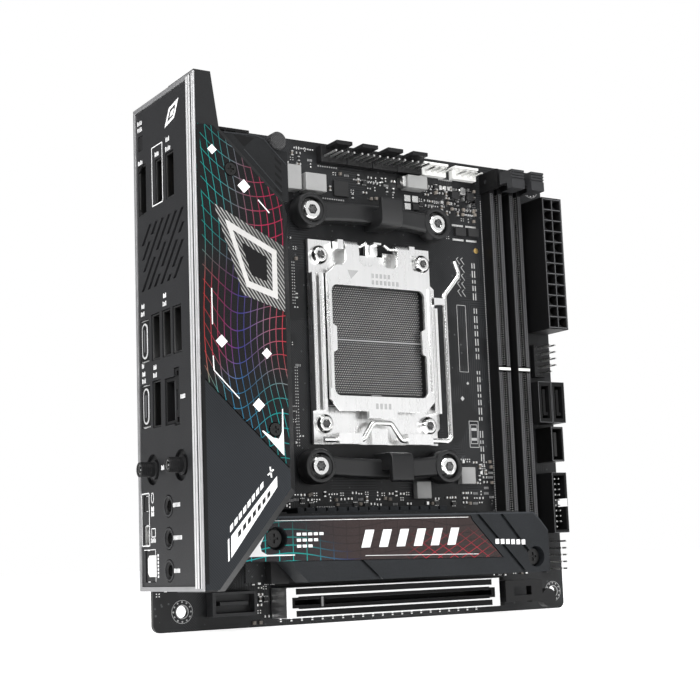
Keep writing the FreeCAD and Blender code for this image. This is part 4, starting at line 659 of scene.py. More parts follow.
def panel_print():
    """Outlines, marks and short bars printed on the connector panel."""
    ink = Shape()
    low, high = PANEL - 0.035, PANEL + 0.01
    for points, width in (
        (outline(136.7, 156.2, 11.2, 19.2), 0.32),
        (outline(27.7, 44.3, -0.95, 4.85), 0.34),
        ([(26.4, 0.25), (26.4, 9.15), (16.4, 9.15)], 0.22),
    ):
        ink.stroke(points, width, low, high, "u")
    word_spots = (
        (166.6, 0.2, 4, 0.95), (164.4, 0.2, 4, 0.95), (153.0, 0.2, 4, 0.95), (155.3, 22.2, 3, 0.95),
        (152.2, 21.8, 4, 1.0), (152.6, 13.6, 4, 0.8), (104.5, 1.3, 3, 0.8), (102.0, 0.8, 3, 1.0),
        (105.2, 18.2, 3, 0.8), (102.6, 17.8, 3, 1.0), (84.9, 0.9, 2, 1.0), (82.2, 1.2, 3, 0.8),
        (79.9, 1.0, 3, 1.0), (83.3, 10.0, 3, 0.8), (80.8, 9.7, 3, 1.0), (51.0, 14.6, 4, 0.8),
        (38.5, 6.4, 3, 0.75), (36.9, 6.4, 3, 0.75), (28.6, 6.1, 4, 0.9),
    )
    for v, w, count, pitch in word_spots:
        for index in range(count):
            start = w + pitch * index
            tall = 1.5 if index % 2 == 0 else 1.2
            ink.prism(rect(v, v + tall, start, start + 0.5), low, high, "u")
    for v, w, count in ((39.0, 22.7, 6), (29.0, 22.7, 7), (19.0, 22.7, 5), (71.8, 29.6, 4)):
        ink.dashes(v, w, count, 0.0, (1.3, 0.5), low, high, "u", step_b=0.9)
    for index in range(7):
        v = 17.6 + index * 1.1
        ink.prism(rect(v, v + 0.75, 10.6, 11.5), low, high, "u")
    ring = [(42.7 + 1.6 * math.cos(i * math.pi / 8),
             7.4 + 0.85 * math.sin(i * math.pi / 8)) for i in range(17)]
    ink.stroke(ring, 0.25, low, high, "u")
    ink.stroke(outline(30.4, 33.0, 6.5, 9.3), 0.28, low, high, "u")
    ink.frame([(160.2, 21.5), (165.8, 25.0), (167.2, 32.2), (161.6, 28.7)], 0.62, low, high, "u")
    ink.prism([(162.5, 25.3), (164.3, 26.4), (164.8, 28.9), (163.0, 27.8)], low, high, "u")
    ink.finish("panel_print", "ink", slot="panel_sheet")


def bezel_fold_highlights():
    """Painted highlights along the folds of the bezel's band, painted shade between them, and the dark seam
    beside the cover.
    """
    bright = Shape()
    # painted highlights: bright strips where the bezel's folds catch the light
    for w0, w1, reach in ((38.35, 39.25, 0.10), (40.1, 41.0, 0.14), (42.2, 42.7, 0.06)):
        bright.box(BEZEL_FACE - reach, BEZEL_FACE + 0.05, 14.2, 171.8, w0, w1)
    bright.finish("bezel_fold_highlights", "silver_and_highlight", slot="bezel_metal", bevel=0.04)
    shade_and_seam = Shape()
    # painted shade: the dark strip between the folds on the bezel's face; the next box is the dark seam along
    # the cover's edge
    shade_and_seam.box(BEZEL_FACE - 0.03, BEZEL_FACE + 0.05, 14.2, 171.8, 41.3, 41.8)
    shade_and_seam.box(-2.35, -1.2, 15.4, 155.6, COVER - 0.05, COVER + 0.05)
    shade_and_seam.finish("bezel_fold_shade_and_seam", "deep_black_and_shade", slot="bezel_metal")


def capsule(v, w, long, wide, count=8):
    """Outline with two half-round ends, its long side along v."""
    points = []
    for end, start in ((1, -90), (-1, 90)):
        for step in range(count + 1):
            angle = math.radians(start + 180 * step / count)
            points.append((v + end * (long - wide) + wide * math.cos(angle), w + wide * math.sin(angle)))
    return points


def small_port_faces():
    """Silver oval shells on dark faces for the two USB-C ports, dark ovals of painted shade in their mouths,
    and the chamfers of the HDMI mouth.
    """
    faces, shells, slot_shade, tongues = Shape(), Shape(), Shape(), Shape()
    for v, w in USB_C_MOUTHS:
        faces.prism(rect(v - 6.5, v + 6.5, w - 2.7, w + 2.7), -2.72, -2.6, "u")
        shells.prism(capsule(v, w, 5.9, 2.2), -2.86, -2.7, "u")
        # painted shade: a dark oval sheet across each USB-C mouth
        slot_shade.prism(capsule(v, w, 5.25, 1.6), -2.89, -2.8, "u")
        tongues.prism(capsule(v, w, 3.7, 0.42), -2.92, -2.84, "u")
    for end in (-1, 1):
        edge = VIDEO_MOUTH + end * 8.25
        faces.prism([(edge, 0.45), (edge - end * 2.2, 0.45), (edge, 3.4)], -2.8, -2.4, "u")
    faces.finish("small_port_faces", "deep_black_and_shade")
    shells.finish("usb_c_shells", "silver_and_highlight", slot="sleeve_metal", bevel=0.05)
    slot_shade.finish("usb_c_mouth_shade", "deep_black_and_shade")
    tongues.finish("usb_c_tongues", "edge_line")


def port_insides():
    """Contacts, retention springs and rings inside the rear ports."""
    contacts = Shape()
    springs = Shape()
    for v, w in USB_A_MOUTHS:
        for index in range(4):
            at = v - 4.2 + index * 2.8
            contacts.prism(rect(at - 0.55, at + 0.55, w + 0.05, w + 0.24),
                           -0.9, 6.0, "u")
        for at in (v - 3.6, v + 3.6):
            springs.prism([(at - 1.0, w + 2.1), (at + 1.0, w + 2.1), (at + 0.7, w + 2.5),
                           (at - 0.7, w + 2.5)],
                          -2.3, 4.0, "u")
    contacts.finish("port_contacts", "gold", slot="gilded")
    springs.finish("port_springs", "dark_screw", slot="sleeve_metal")

    rings = Shape()
    for v in JACK_HEIGHTS:
        rings.ring("u", (-3.12, v, JACK_OUT), 3.25, 2.75, 0.4, 40)
    rings.finish("jack_rims", "plastic_grey", bevel=0.08)
    liners = Shape()
    for v in JACK_HEIGHTS:
        liners.ring("u", (-2.4, v, JACK_OUT), 2.1, 1.82, 4.0, 32)
    liners.finish("jack_liners", "dark_screw", slot="sleeve_metal")
    tips = Shape()
    for w in AERIALS_OUT:
        tips.ring("u", (-7.54, AERIAL_HEIGHT, w), 2.36, 1.6, 0.5, 32)
        for index in range(5):
            tips.ring("u", (-6.9 + index * 0.62, AERIAL_HEIGHT, w), 2.44, 2.2, 0.26, 32)
    tips.finish("aerial_threads", "plastic", bevel=0.05)
    centres = Shape()
    for w in AERIALS_OUT:
        centres.ring("u", (-7.3, AERIAL_HEIGHT, w), 1.55, 1.2, 0.6, 28)
        centres.lathe("u", (-7.2, AERIAL_HEIGHT, w), [(0.0, 0.0), (0.35, 0.1), (0.35, 2.0), (0.0, 2.0)], 16)
    centres.finish("aerial_contacts", "tin", slot="gilded")

    window = Shape()
    shutter = [(17.9, 9.05), (17.9, 3.6), (19.0, 2.5), (23.6, 2.5), (24.7, 3.6), (24.7, 9.05)]
    window.prism(shutter, -2.66, -1.9, "u")
    window.finish("optical_shutter", "white", slot="white_plastic", bevel=0.15)
    nets = Shape()
    nets.prism(rect(65.3, 78.6, 24.0, 25.0), -2.3, 1.0, "u")
    nets.finish("network_jack_ledge", "plastic_grey", bevel=0.1)
    # painted shade: a dark sheet behind the panel's vents
    vent_shade = Shape()
    vent_shade.prism(rect(108.0, 133.0, 1.0, 37.4), -1.85, -1.75, "u")
    vent_shade.finish("vent_shade_sheet", "deep_black_and_shade")


# ---- the cover
def cover_print():
    """Plain marks printed on the cover: diamonds, thin lines, slanted bars and blocks."""
    low, high = COVER - 0.01, COVER + 0.05
    white = Shape()
    for u, v, half in ((13.7, 137.5, 2.2), (4.7, 88.1, 2.0), (16.9, 68.9, 2.1), (2.9, 148.1, 1.6),
                       (20.2, 85.0, 1.7)):
        white.prism(diamond(u, v, half), low, high)
    white.stroke([(1.7, 104.3), (1.7, 93.1)], 0.3, low, high)
    white.stroke([(1.7, 83.5), (1.9, 79.1), (10.3, 70.7)], 0.3, low, high)
    white.stroke([(18.6, 133.6), (22.5, 129.8)], 0.34, low, high)
    white.prism([(25.0, 67.9), (25.3, 67.9), (25.3, 53.4), (17.8, 60.9), (18.2, 61.1), (21.6, 58.9),
                 (23.6, 58.6),
                 (24.7, 60.6)], low, high)
    white.prism([(6.3, 29.3), (22.5, 47.2), (22.5, 43.8), (6.2, 22.8)], low, high)
    white.prism([(5.15, 28.2), (5.65, 28.7), (5.65, 22.2), (5.15, 21.7)], low, high)
    for index in range(8):
        u, v = 6.0 + index * 1.52, 30.4 + index * 1.75
        white.prism([(u, v), (u + 1.05, v + 1.2), (u + 1.05, v + 3.0), (u, v + 1.8)], low, high)
    white.stroke([(19.3, 47.4), (21.4, 49.2)], 0.5, low, high)
    white.stroke([(20.6, 46.7), (20.2, 50.0)], 0.5, low, high)
    white.finish("cover_marks", "ink", slot="printed_skin")

    dark = Shape()
    for index in range(7):
        u, v = 8.6 + index * 1.72, 28.7 + index * 1.9
        dark.prism([(u, v), (u + 1.1, v + 1.25), (u + 1.1, v + 2.9), (u, v + 1.65)], high, high + 0.02)
    dark.finish("cover_band_marks", "plastic", slot="printed_skin")


def cover_rhombus():
    """A plain rhombus of nested bands: hatched, silver, hatched and a dark centre."""
    low = COVER - 0.01
    rhombus = [(3.0, 131.0), (27.2, 119.5), (27.2, 98.5), (12.5, 103.0)]

    def scaled(factor):
        middle_u = sum(u for u, v in rhombus) / 4
        middle_v = sum(v for u, v in rhombus) / 4
        return [(middle_u + (u - middle_u) * factor, middle_v + (v - middle_v) * factor) for u, v in rhombus]

    hatched = Shape()
    hatched.frame(rhombus, 0.74, low, COVER + 0.06)
    hatched.frame(scaled(0.56), 0.66, low, COVER + 0.06)
    hatched.finish("cover_rhombus_hatched", "hatch", slot="printed_skin")
    silver = Shape()
    silver.frame(scaled(0.74), 0.757, low, COVER + 0.10)
    silver.finish("cover_rhombus_silver", "silver_print", slot="printed_skin", bevel=0.04)
    centre = Shape()
    centre.prism(scaled(0.37), low, COVER + 0.05)
    centre.finish("cover_rhombus_centre", "deep_black_and_shade", slot="printed_skin")


def heatsink_front():
    """Recess lines, slots and the knurled screw of the voltage-regulator heatsink; the recess and the slots
    are painted dark as shade.
    """
    lines = Shape()
    # painted shade: a dark triangle where the heatsink's face is recessed
    lines.prism([(11.5, 154.6), (19.0, 154.3), (15.4, 151.0)], 40.9, 41.03)
    lines.finish("heatsink_pocket_shade", "deep_black_and_shade", slot="dark_aluminium")
    ridge = Shape()
    ridge.stroke([(8.2, 154.9), (19.6, 155.2), (22.6, 154.4), (25.8, 151.2), (30.4, 147.0)], 0.4, 40.9, 41.12)
    ridge.stroke([(15.4, 150.2), (28.4, 137.8)], 0.4, 40.9, 41.1)
    ridge.finish("heatsink_ridges", "bevel", slot="dark_aluminium", bevel=0.06)
    slot_shade = Shape()
    # painted shade: dark bars in the heatsink's slots
    for index in range(6):
        v = 148.2 - index * 2.5
        slot_shade.prism([(26.2, v), (28.6, v - 1.9), (28.6, v - 0.9), (26.2, v + 1.0)], 40.95, 41.03)
    slot_shade.finish("heatsink_slot_shade", "deep_black_and_shade", slot="dark_aluminium")
    boss = Shape()
    boss.lathe("w", (27.4, 154.4, 38.6),
               [(2.95, 0.0), (2.95, 3.0), (2.6, 3.5), (2.4, 3.5), (2.2, 3.3), (0.0, 3.3)],
               48)
    boss.finish("heatsink_knurled_screw", "knurl", slot="dark_aluminium", bevel=0.05)
    tab = Shape()
    tab.box(20.4, 28.0, 160.4, 163.2, 13.2, 13.6)
    tab.finish("power_socket_latch", "rim", bevel=0.1)


# ---- the socket
SOCKET_U = 86.53
SOCKET_V = 98.06
PLATE_TOP = 7.09


def contact_field():
    """Rows of spring contacts in two halves with a bar between them."""
    pins = Shape()
    for row, v in enumerate(steps(79.0, 117.2, 0.814)):
        for u in steps(67.4 + (0.47 if row % 2 else 0.0), 105.8, 0.94):
            if abs(v - 97.9) > 0.55:
                pins.prism([(u, v), (u + 0.46, v + 0.1), (u + 0.5, v + 0.34), (u + 0.06, v + 0.26)], 3.6,
                           3.98, taper=0.8)
    pins.finish("contact_pins", "contact", slot="gilded")
    bars = Shape()
    bars.box(67.0, 106.1, 97.7, 98.15, 3.6, 4.05)
    bars.box(84.0, 88.4, 117.3, 117.9, 3.6, 4.6)
    bars.box(83.6, 87.6, 78.0, 78.5, 3.6, 4.6)
    bars.finish("contact_field_bars", "ink_grey", bevel=0.05)


def driver_recesses():
    """Six-lobed driver recesses, painted dark as shade in the hollow of each chrome screw head, and washers
    of the eight screws round the socket.
    """
    recesses, washers = Shape(), Shape()
    for across_u, across_v, top, radius, reach in ((54.0, 90.0, 8.09, 1.7, 4.1),
                                                   (44.0, 60.0, 4.49, 1.4, 3.35)):
        for side_u in (-1, 1):
            for side_v in (-1, 1):
                u = SOCKET_U + side_u * across_u / 2
                v = SOCKET_V + side_v * across_v / 2
                points = []
                for index in range(24):
                    angle = 2 * math.pi * index / 24
                    r = radius * (0.74 + 0.26 * math.cos(6 * angle))
                    points.append((u + r * math.cos(angle), v + r * math.sin(angle)))
                # painted shade: a dark solid where the hollow of the driver recess would be
                recesses.prism(points, top - 0.9, top)
                washers.ring("w", (u, v, top - 2.0), reach + 0.05, reach - 0.45, 0.5, 40)
    recesses.finish("driver_recesses", "recess", slot="chromed")
    washers.finish("screw_washers", "tin", slot="chromed", bevel=0.08)


def bracket(label, v, outward):
    """A cooler bracket with round bosses, a bowed band and a tall hook."""
    u = SOCKET_U
    body = Shape()
    stations = [-1 + i / 10 for i in range(21)]
    waist = [0.9 - 1.5 * t * t for t in stations]
    inner = [(u + 27 * t, v + outward * bow - 3.5 - 0.6 * abs(t) ** 6) for t, bow in zip(stations, waist)]
    outer = [(u + 27 * t, v + outward * bow + 3.5 + 0.6 * abs(t) ** 6) for t, bow in zip(stations, waist)]
    body.prism(inner + outer[::-1], 2.2, 7.7)
    body.finish(label + "_band", "bracket", bevel=1.3, segments=5, smooth=60, replaces=(label,))
    ends = Shape()
    for side in (-1, 1):
        ends.lathe("w", (u + side * 27, v, 2.2), [
            (6.1, 0.0), (6.1, 5.2), (5.7, 5.8), (5.1, 6.0), (4.7, 5.9), (4.5, 5.5), (4.5, 3.3), (2.0, 3.3),
            (2.0, 0.0), (6.1, 0.0)], 56)
    ends.finish(label + "_bosses", "bracket")
    hook = Shape()
    profile = [(-4.6, 2.3), (-4.6, 11.6), (-4.0, 13.6), (-2.6, 14.4), (5.2, 14.4), (5.8, 13.8), (5.9, 12.6),
               (5.2, 12.3), (2.2, 12.2), (1.6, 11.4), (1.4, 2.3)]
    hook.prism([(v + outward * a, w) for a, w in profile], u - 2.0, u + 7.0, "u")
    hook.finish(label + "_hook", "bracket", bevel=0.35, segments=3, smooth=40)


def socket_marks():
    """A plain engraved triangle on the load plate and the frame's bright ridges."""
    mark = Shape()
    mark.prism([(73.6, 122.6), (78.2, 122.6), (75.0, 119.4)], PLATE_TOP, PLATE_TOP + 0.03)
    for row, count in ((121.2, 5), (118.8, 7)):
        for index in range(count):
            start = 83.6 + index * 1.75
            mark.prism(rect(start, start + 1.1, row - 0.8, row + 0.8),
                       PLATE_TOP, PLATE_TOP + 0.02)
    for index in range(4):
        start = 83.4 + index * 1.8
        mark.prism(rect(start, start + 1.1, 73.2, 75.2), PLATE_TOP, PLATE_TOP + 0.02)
    mark.finish("plate_engraving", "engraved", body="load_plate", slot="bright_steel")
    ridges = Shape()
    for u0, u1, top in ((60.55, 60.95, 4.5), (61.35, 61.7, 4.45), (63.0, 63.35, 5.7), (110.2, 110.5, 5.7),
                        (111.0, 111.3, 5.68)):
        ridges.box(u0, u1, 72.6, 118.0, top - 0.4, top)
    ridges.finish("frame_ridges", "wire", slot="bright_steel", bevel=0.1)


# ---- memory and power sockets
MEMORY_LEFTS = (140.3, 149.7)


def memory_strips():
    """Grey perforated strips beside each memory groove, contacts and key marks."""
    strips = Shape()
    holes = Shape()
    contacts = Shape()
    keys = Shape()
    for left in MEMORY_LEFTS:
        for start in (left + 0.35, left + 4.35):
            for low, high in ((25.0, 88.9), (91.4, 158.2)):
                strips.box(start, start + 1.4, low, high, 5.2, 5.36)
                for v in steps(low + 0.6, high - 0.4, 0.85):
                    holes.box(start + 0.45, start + 0.95, v, v + 0.4, 5.3, 5.375)
        for v in steps(25.6, 158.0, 0.85):
            if abs(v - 90.2) > 1.4:
                contacts.box(left + 2.34, left + 2.6, v, v + 0.36, 2.4, 5.0)
                contacts.box(left + 3.5, left + 3.76, v, v + 0.36, 2.4, 5.0)
        keys.box(left + 0.3, left + 5.8, 89.7, 90.7, 5.28, 5.5)
    strips.finish("memory_strips", "strip", slot="grey_plastic", bevel=0.05)
    holes.finish("memory_strip_holes", "deep_black_and_shade")
    contacts.finish("memory_contacts", "tin", slot="gilded")
    keys.finish("memory_key_marks", "white", slot="white_plastic", bevel=0.06)
    for index, left in enumerate(MEMORY_LEFTS):
        ribs = Shape()
        for step in range(5):
            ribs.box(left + 0.15, left + 5.95, 158.9 + step * 1.08, 159.4 + step * 1.08, 19.3, 19.49)
        ribs.box(left + 0.5, left + 5.6, 156.9, 157.0, 12.6, 18.6)
        ribs.finish("memory_latch_%d_ribs" % (index + 1), "plastic_grey", body="dimm_latch_%d" % (index + 1),
                    slot="grey_plastic", bevel=0.12)


def edge_sockets():
    """Contacts and pin tips of the sockets along the board's far edge."""
    contacts = Shape()
    for start in (156.1, 162.6):
        for index in range(14):
            contacts.box(start + 2.5, start + 2.62, 73.2 + index * 0.66, 73.5 + index * 0.66, 3.0, 8.1)
    for index in range(12):
        contacts.box(163.1, 163.22, 57.4 + index * 0.7, 57.7 + index * 0.7, 3.0, 7.7)
    contacts.finish("edge_socket_contacts", "dark_screw", slot="gilded")
    tips = Shape()
    for column in range(2):
        for row in range(10):
            if (column, row) != (1, 0):
                u, v = 162.6 + 2.0 * column, 30.5 + 2.0 * row
                tips.box(u - 0.26, u + 0.26, v - 0.26, v + 0.26, 7.3, 7.75, taper=0.7)
    tips.finish("usb_header_tips", "tin", slot="gilded")


def power_socket_edges():
    """Painted highlights along the top edges of the walls between the cells of the main power socket, and of
    the sockets below it.
    """
    # painted highlights: light grey lines on the wall tops and rims
    lines = Shape()
    for index in range(13):
        v = 105.9 + 4.2 * index
        lines.box(160.0, 169.0, v - 0.14, v + 0.14, 12.95, 13.05)
    for u in (160.1, 164.5, 168.9):
        lines.box(u - 0.12, u + 0.12, 105.6, 156.6, 12.95, 13.05)
    for u0, u1, v0, v1, top in ((156.1, 162.3, 69.8, 85.4, 9.0), (162.6, 168.8, 69.8, 85.4, 9.0),
                                (160.2, 167.2, 28.2, 50.8, 9.2), (161.0, 166.8, 55.2, 68.2, 9.2)):
        lines.stroke(outline(u0 + 0.1, u1 - 0.1, v0 + 0.1, v1 - 0.1), 0.16, top - 0.05, top + 0.03)
    lines.finish("socket_edge_highlights", "edge_line")


# ---- graphics slot and SSD heatsink
def graphics_slot_rails():
    """Dark channels along the steel shield."""
    rails = Shape()
    for v0, v1 in ((3.05, 5.0), (10.25, 12.2)):
        rails.box(46.2, 127.4, v0, v1, 11.15, 11.26)
    rails.finish("graphics_slot_rails", "deep_black_and_shade")


def graphics_slot():
    """Contacts of the graphics slot, its key mark and the solder tails below it."""
    contacts = Shape()
    for u in steps(46.8, 126.8, 1.0):
        if abs(u - 56.6) > 1.6:
            contacts.box(u, u + 0.4, 6.5, 6.72, 3.4, 10.6)
            contacts.box(u, u + 0.4, 8.48, 8.7, 3.4, 10.6)
    contacts.finish("graphics_slot_contacts", "edge_line", slot="gilded")
    tails = Shape()
    for u in steps(46.0, 128.0, 4.1):
        tails.box(u, u + 0.7, 1.2, 1.6, 0.0, 0.2)
        tails.box(u, u + 0.7, 1.9, 2.3, 0.0, 0.2)
    tails.finish("graphics_slot_tails", "tin", slot="bright_steel")
    key = Shape()
    key.box(56.2, 57.0, 6.0, 9.2, 10.2, 10.75)
    key.finish("graphics_slot_key", "ink_grey", bevel=0.05)


SINK_TOP = 30.0


def sink_print():
    """Lines and plain marks printed on the SSD heatsink."""
    low, high = SINK_TOP - 0.01, SINK_TOP + 0.03
    white = Shape()
    white.prism([(25.1, 30.2), (19.2, 23.0), (35.6, 23.0), (35.6, 23.3), (25.6, 23.5), (23.6, 24.6),
                 (23.2, 26.4)],
                low, high)
    for row in range(3):
        for index in range(5 - row):
            start = 36.4 + index * 2.1
            white.box(start, start + 1.5, 29.2 - row * 1.9, 30.1 - row * 1.9, low, high)
    for index in range(6):
        start = 60.5 + index * 6.9
        white.prism([(start, 24.8), (start + 3.4, 24.8), (start + 5.3, 30.5), (start + 1.9, 30.5)],
                    low, high)
    white.stroke([(15.4, 34.0), (104.4, 34.0)], 0.16, low, SINK_TOP + 0.02)
    white.stroke([(62.0, 22.2), (108.0, 21.4)], 0.16, low, SINK_TOP + 0.02)
    for index in range(6):
        start = 115.6 + index * 2.3
        white.box(start, start + 1.6, 24.6 - index * 0.1, 26.3 - index * 0.1, low, high)
    white.finish("ssd_heatsink_print", "ink", slot="printed_skin")
    lip = Shape()
    lip.prism([(14.2, 34.9), (132.8, 34.9), (135.6, 32.4), (139.0, 28.7), (139.2, 29.0), (135.9, 32.8),
               (133.0, 35.4),
               (14.2, 35.4)], SINK_TOP - 0.2, SINK_TOP + 0.02)
    lip.finish("ssd_heatsink_lip", "sink_light", slot="dark_aluminium", bevel=0.1)


# ---- small parts on the board
# ranges of u and v where something large stands: u from, u to, v from, v to
KEEP_OUT = (
    (50.0, 68.2, 149.9, 160.0), (102.0, 112.4, 155.8, 162.0), (122.2, 129.8, 46.4, 53.8),
    (102.0, 109.6, 41.2, 48.6), (72.6, 79.8, 150.5, 157.4), (125.0, 138.0, 138.4, 146.0),
    (33.0, 41.2, 159.4, 170.0), (44.0, 50.0, 159.6, 165.2), (66.0, 137.4, 161.6, 169.4),
    (52.8, 120.2, 136.4, 149.9), (52.8, 120.2, 46.2, 59.8), (60.0, 118.4, 58.0, 136.4),
    (83.0, 94.6, 136.0, 150.2), (82.6, 94.2, 45.6, 60.0), (139.2, 170.0, 20.0, 170.0),
    (42.0, 132.0, 0.6, 13.6), (46.0, 108.0, 14.0, 39.0), (18.2, 36.0, 3.4, 12.9),
    (4.0, 16.0, 1.0, 12.0), (131.0, 160.0, 1.0, 12.0), (159.0, 170.0, 1.0, 12.0),
    (104.0, 110.6, 149.2, 155.0), (119.2, 140.0, 58.0, 138.4), (12.0, 34.0, 13.0, 170.0),
    (45.0, 50.6, 41.6, 47.4), (13.0, 33.4, 156.0, 168.0), (24.0, 138.4, 36.6, 38.0),
)


def free(u, v, room):
    """True where nothing large stands on the board."""
    return all(u + room < u0 or u - room > u1 or v + room < v0 or v - room > v1 for u0, u1, v0,
               v1 in KEEP_OUT)


def small_parts():
    """Chip capacitors, resistors and small packages scattered where the board is busy."""
    chance = random.Random(11)
    caps, tan, black, marks, dots = Shape(), Shape(), Shape(), Shape(), Shape()
    zones = (
        (44.0, 139.0, 150.0, 169.0, 0.62), (116.0, 139.0, 136.4, 161.8, 0.62), (44.0, 62.0, 38.0, 58.0, 0.72),
        (60.0, 104.0, 38.2, 46.0, 0.55), (108.0, 139.0, 38.2, 60.0, 0.72), (36.0, 46.0, 1.4, 16.0, 0.8),
        (2.0, 20.0, 12.0, 14.5, 0.5), (142.0, 158.0, 12.5, 20.0, 0.6), (130.0, 158.0, 14.0, 20.0, 0.6),
        (44.0, 58.0, 60.0, 140.0, 0.16), (119.0, 126.0, 60.0, 136.0, 0.04),
    )
    for u0, u1, v0, v1, fill in zones:
        for v in steps(v0, v1, 1.9):
            for u in steps(u0, u1, 2.5):
                spot_u, spot_v = u + chance.uniform(-0.35, 0.35), v + chance.uniform(-0.25, 0.25)
                kind = chance.random()
                turned = chance.random() < 0.4
                if chance.random() < fill and free(spot_u, spot_v, 0.9):
                    add_part(spot_u, spot_v, kind, turned, caps, tan, black, marks, dots)
    caps.finish("part_terminals", "tin", slot="bright_steel")
    tan.finish("chip_capacitors", "ceramic", slot="chip_resin", bevel=0.05)
    black.finish("small_packages", "resin", slot="chip_resin", bevel=0.05)
    marks.finish("part_outlines", "ink_grey", slot="board_laminate")
    dots.finish("via_rings", "tin", slot="board_laminate")


def add_part(u, v, kind, turned, caps, tan, black, marks, dots):
    """One small part or a pair of bare pads."""
    a, b = (0.85, 0.42) if not turned else (0.42, 0.85)
    if kind < 0.34:
        shape, tall = (tan, 0.75) if kind < 0.17 else (black, 0.45)
        shape.box(u - a * 0.62, u + a * 0.62, v - b * 0.62, v + b * 0.62, 0, tall)
        for side in (-1, 1):
            cu, cv = (u + side * a * 0.85, v) if not turned else (u, v + side * b * 0.85)
            ha, hb = (0.22, b) if not turned else (a, 0.22)
            caps.box(cu - ha, cu + ha, cv - hb * 0.9, cv + hb * 0.9, 0, tall + 0.02)
    elif kind < 0.52:
        for i in range(2):
            for j in range(2):
                dots.box(u - 0.75 + i * 0.95, u - 0.35 + i * 0.95, v - 0.6 + j * 0.8, v - 0.3 + j * 0.8, 0,
                         0.03)
    elif kind < 0.62:
        for i in range(4):
            marks.box(u - 1.0 + i * 0.55, u - 0.72 + i * 0.55, v - 0.45, v + 0.4, 0, 0.03)
    elif kind < 0.70:
        black.box(u - 0.95, u + 0.95, v - 0.7, v + 0.7, 0.1, 0.8)
        for i in range(3):
            for side in (-1, 1):
                caps.box(u - 0.75 + i * 0.6, u - 0.5 + i * 0.6, v + side * 0.85 - 0.15,
                         v + side * 0.85 + 0.15, 0, 0.2)
    elif kind < 0.86:
        for side in (-1, 1):
            cu, cv = (u + side * 0.55, v) if not turned else (u, v + side * 0.55)
            caps.box(cu - 0.22, cu + 0.22, cv - 0.24, cv + 0.24, 0, 0.12)
    else:
        shape = caps if kind > 0.96 else tan
        shape.box(u - 0.5, u + 0.5, v - 0.55, v + 0.55, 0, 0.9)


def board_print():
    """Silkscreen outlines, rows of pads and plain bars in place of words."""
    ink = Shape()
    low, high = -0.01, 0.035
    ink.stroke(outline(126.2, 130.2, 114.5, 89.1), 0.16, low, high)
    for u, v, half in ((129.6, 84.8, 0.6), (126.8, 79.0, 0.9)):
        ink.prism(diamond(u, v, half), low, high)
    v = 131.2
    index = 0
    while v > 50.0:
        tall = (2.0, 2.6, 1.3)[index % 3]
        if index % 8 != 5:
            ink.box(134.1, 134.5, v - tall, v, low, high)
            ink.box(135.2, 135.6, v - tall, v, low, high)
        v -= tall + 0.95
        index += 1
    for start in (128.6, 130.6):
        for v in steps(118.0, 133.0, 3.1):
            ink.stroke([(start, v), (start - 1.6, v + 1.9), (start - 0.6, v + 2.6)], 0.22, low, high)
    for v in steps(30.0, 156.0, 0.85):
        ink.box(139.7, 140.05, v, v + 0.4, low, high)
    for base, top in ((110.4, 125.2), (60.4, 88.0)):
        for v in steps(base, top, 1.05):
            ink.box(54.9, 55.25, v, v + 0.4, low, high)
            ink.box(55.7, 56.05, v, v + 0.4, low, high)
    for u0, v0, count in ((57.2, 167.0, 9), (68.6, 149.6, 10), (120.4, 162.4, 7), (131.8, 151.6, 5),
                          (131.8, 149.8, 5),
                          (62.0, 39.2, 8), (124.6, 56.0, 5), (67.0, 161.4, 9), (82.0, 158.0, 12)):
        for index in range(count):
            ink.box(u0 + index * 0.95, u0 + index * 0.95 + 0.55, v0, v0 + 0.5, low, high)
    for size in (1.0, 0.72):
        box = [(131.4 + 2.1 * size * a, 65.7 + 4.9 * size * b) for a,
               b in ((-1, -1), (1, -1), (1, 1), (-1, 1))]
        ink.stroke(box + box[:1], 0.22, low, high)
    ink.box(130.2, 132.6, 63.3, 64.3, low, high)
    ink.box(130.2, 132.6, 67.0, 68.0, low, high)
    ink.finish("board_print", "silk", slot="board_laminate")

    dot = Shape()
    dot.lathe("w", (136.6, 136.2, 0.0), [(1.05, 0.0), (1.05, 0.06), (0.0, 0.09)], 28)
    dot.finish("gold_fiducial", "gold", slot="gilded")
    rings = Shape()
    for u, v in ((10.16, 6.35), (165.1, 6.35), (33.02, 163.83), (165.1, 163.83)):
        for index in range(12):
            angle = 2 * math.pi * index / 12
            rings.lathe("w", (u + 3.15 * math.cos(angle), v + 3.15 * math.sin(angle), 0.0),
                        [(0.3, 0.0), (0.3, 0.05), (0.0, 0.1)], 10)
        rings.ring("w", (u, v, 0.0), 3.75, 3.6, 0.04, 40)
        rings.ring("w", (u, v, 0.0), 2.3, 2.02, 0.05, 40)
    rings.finish("mounting_hole_pads", "silk", slot="board_laminate")


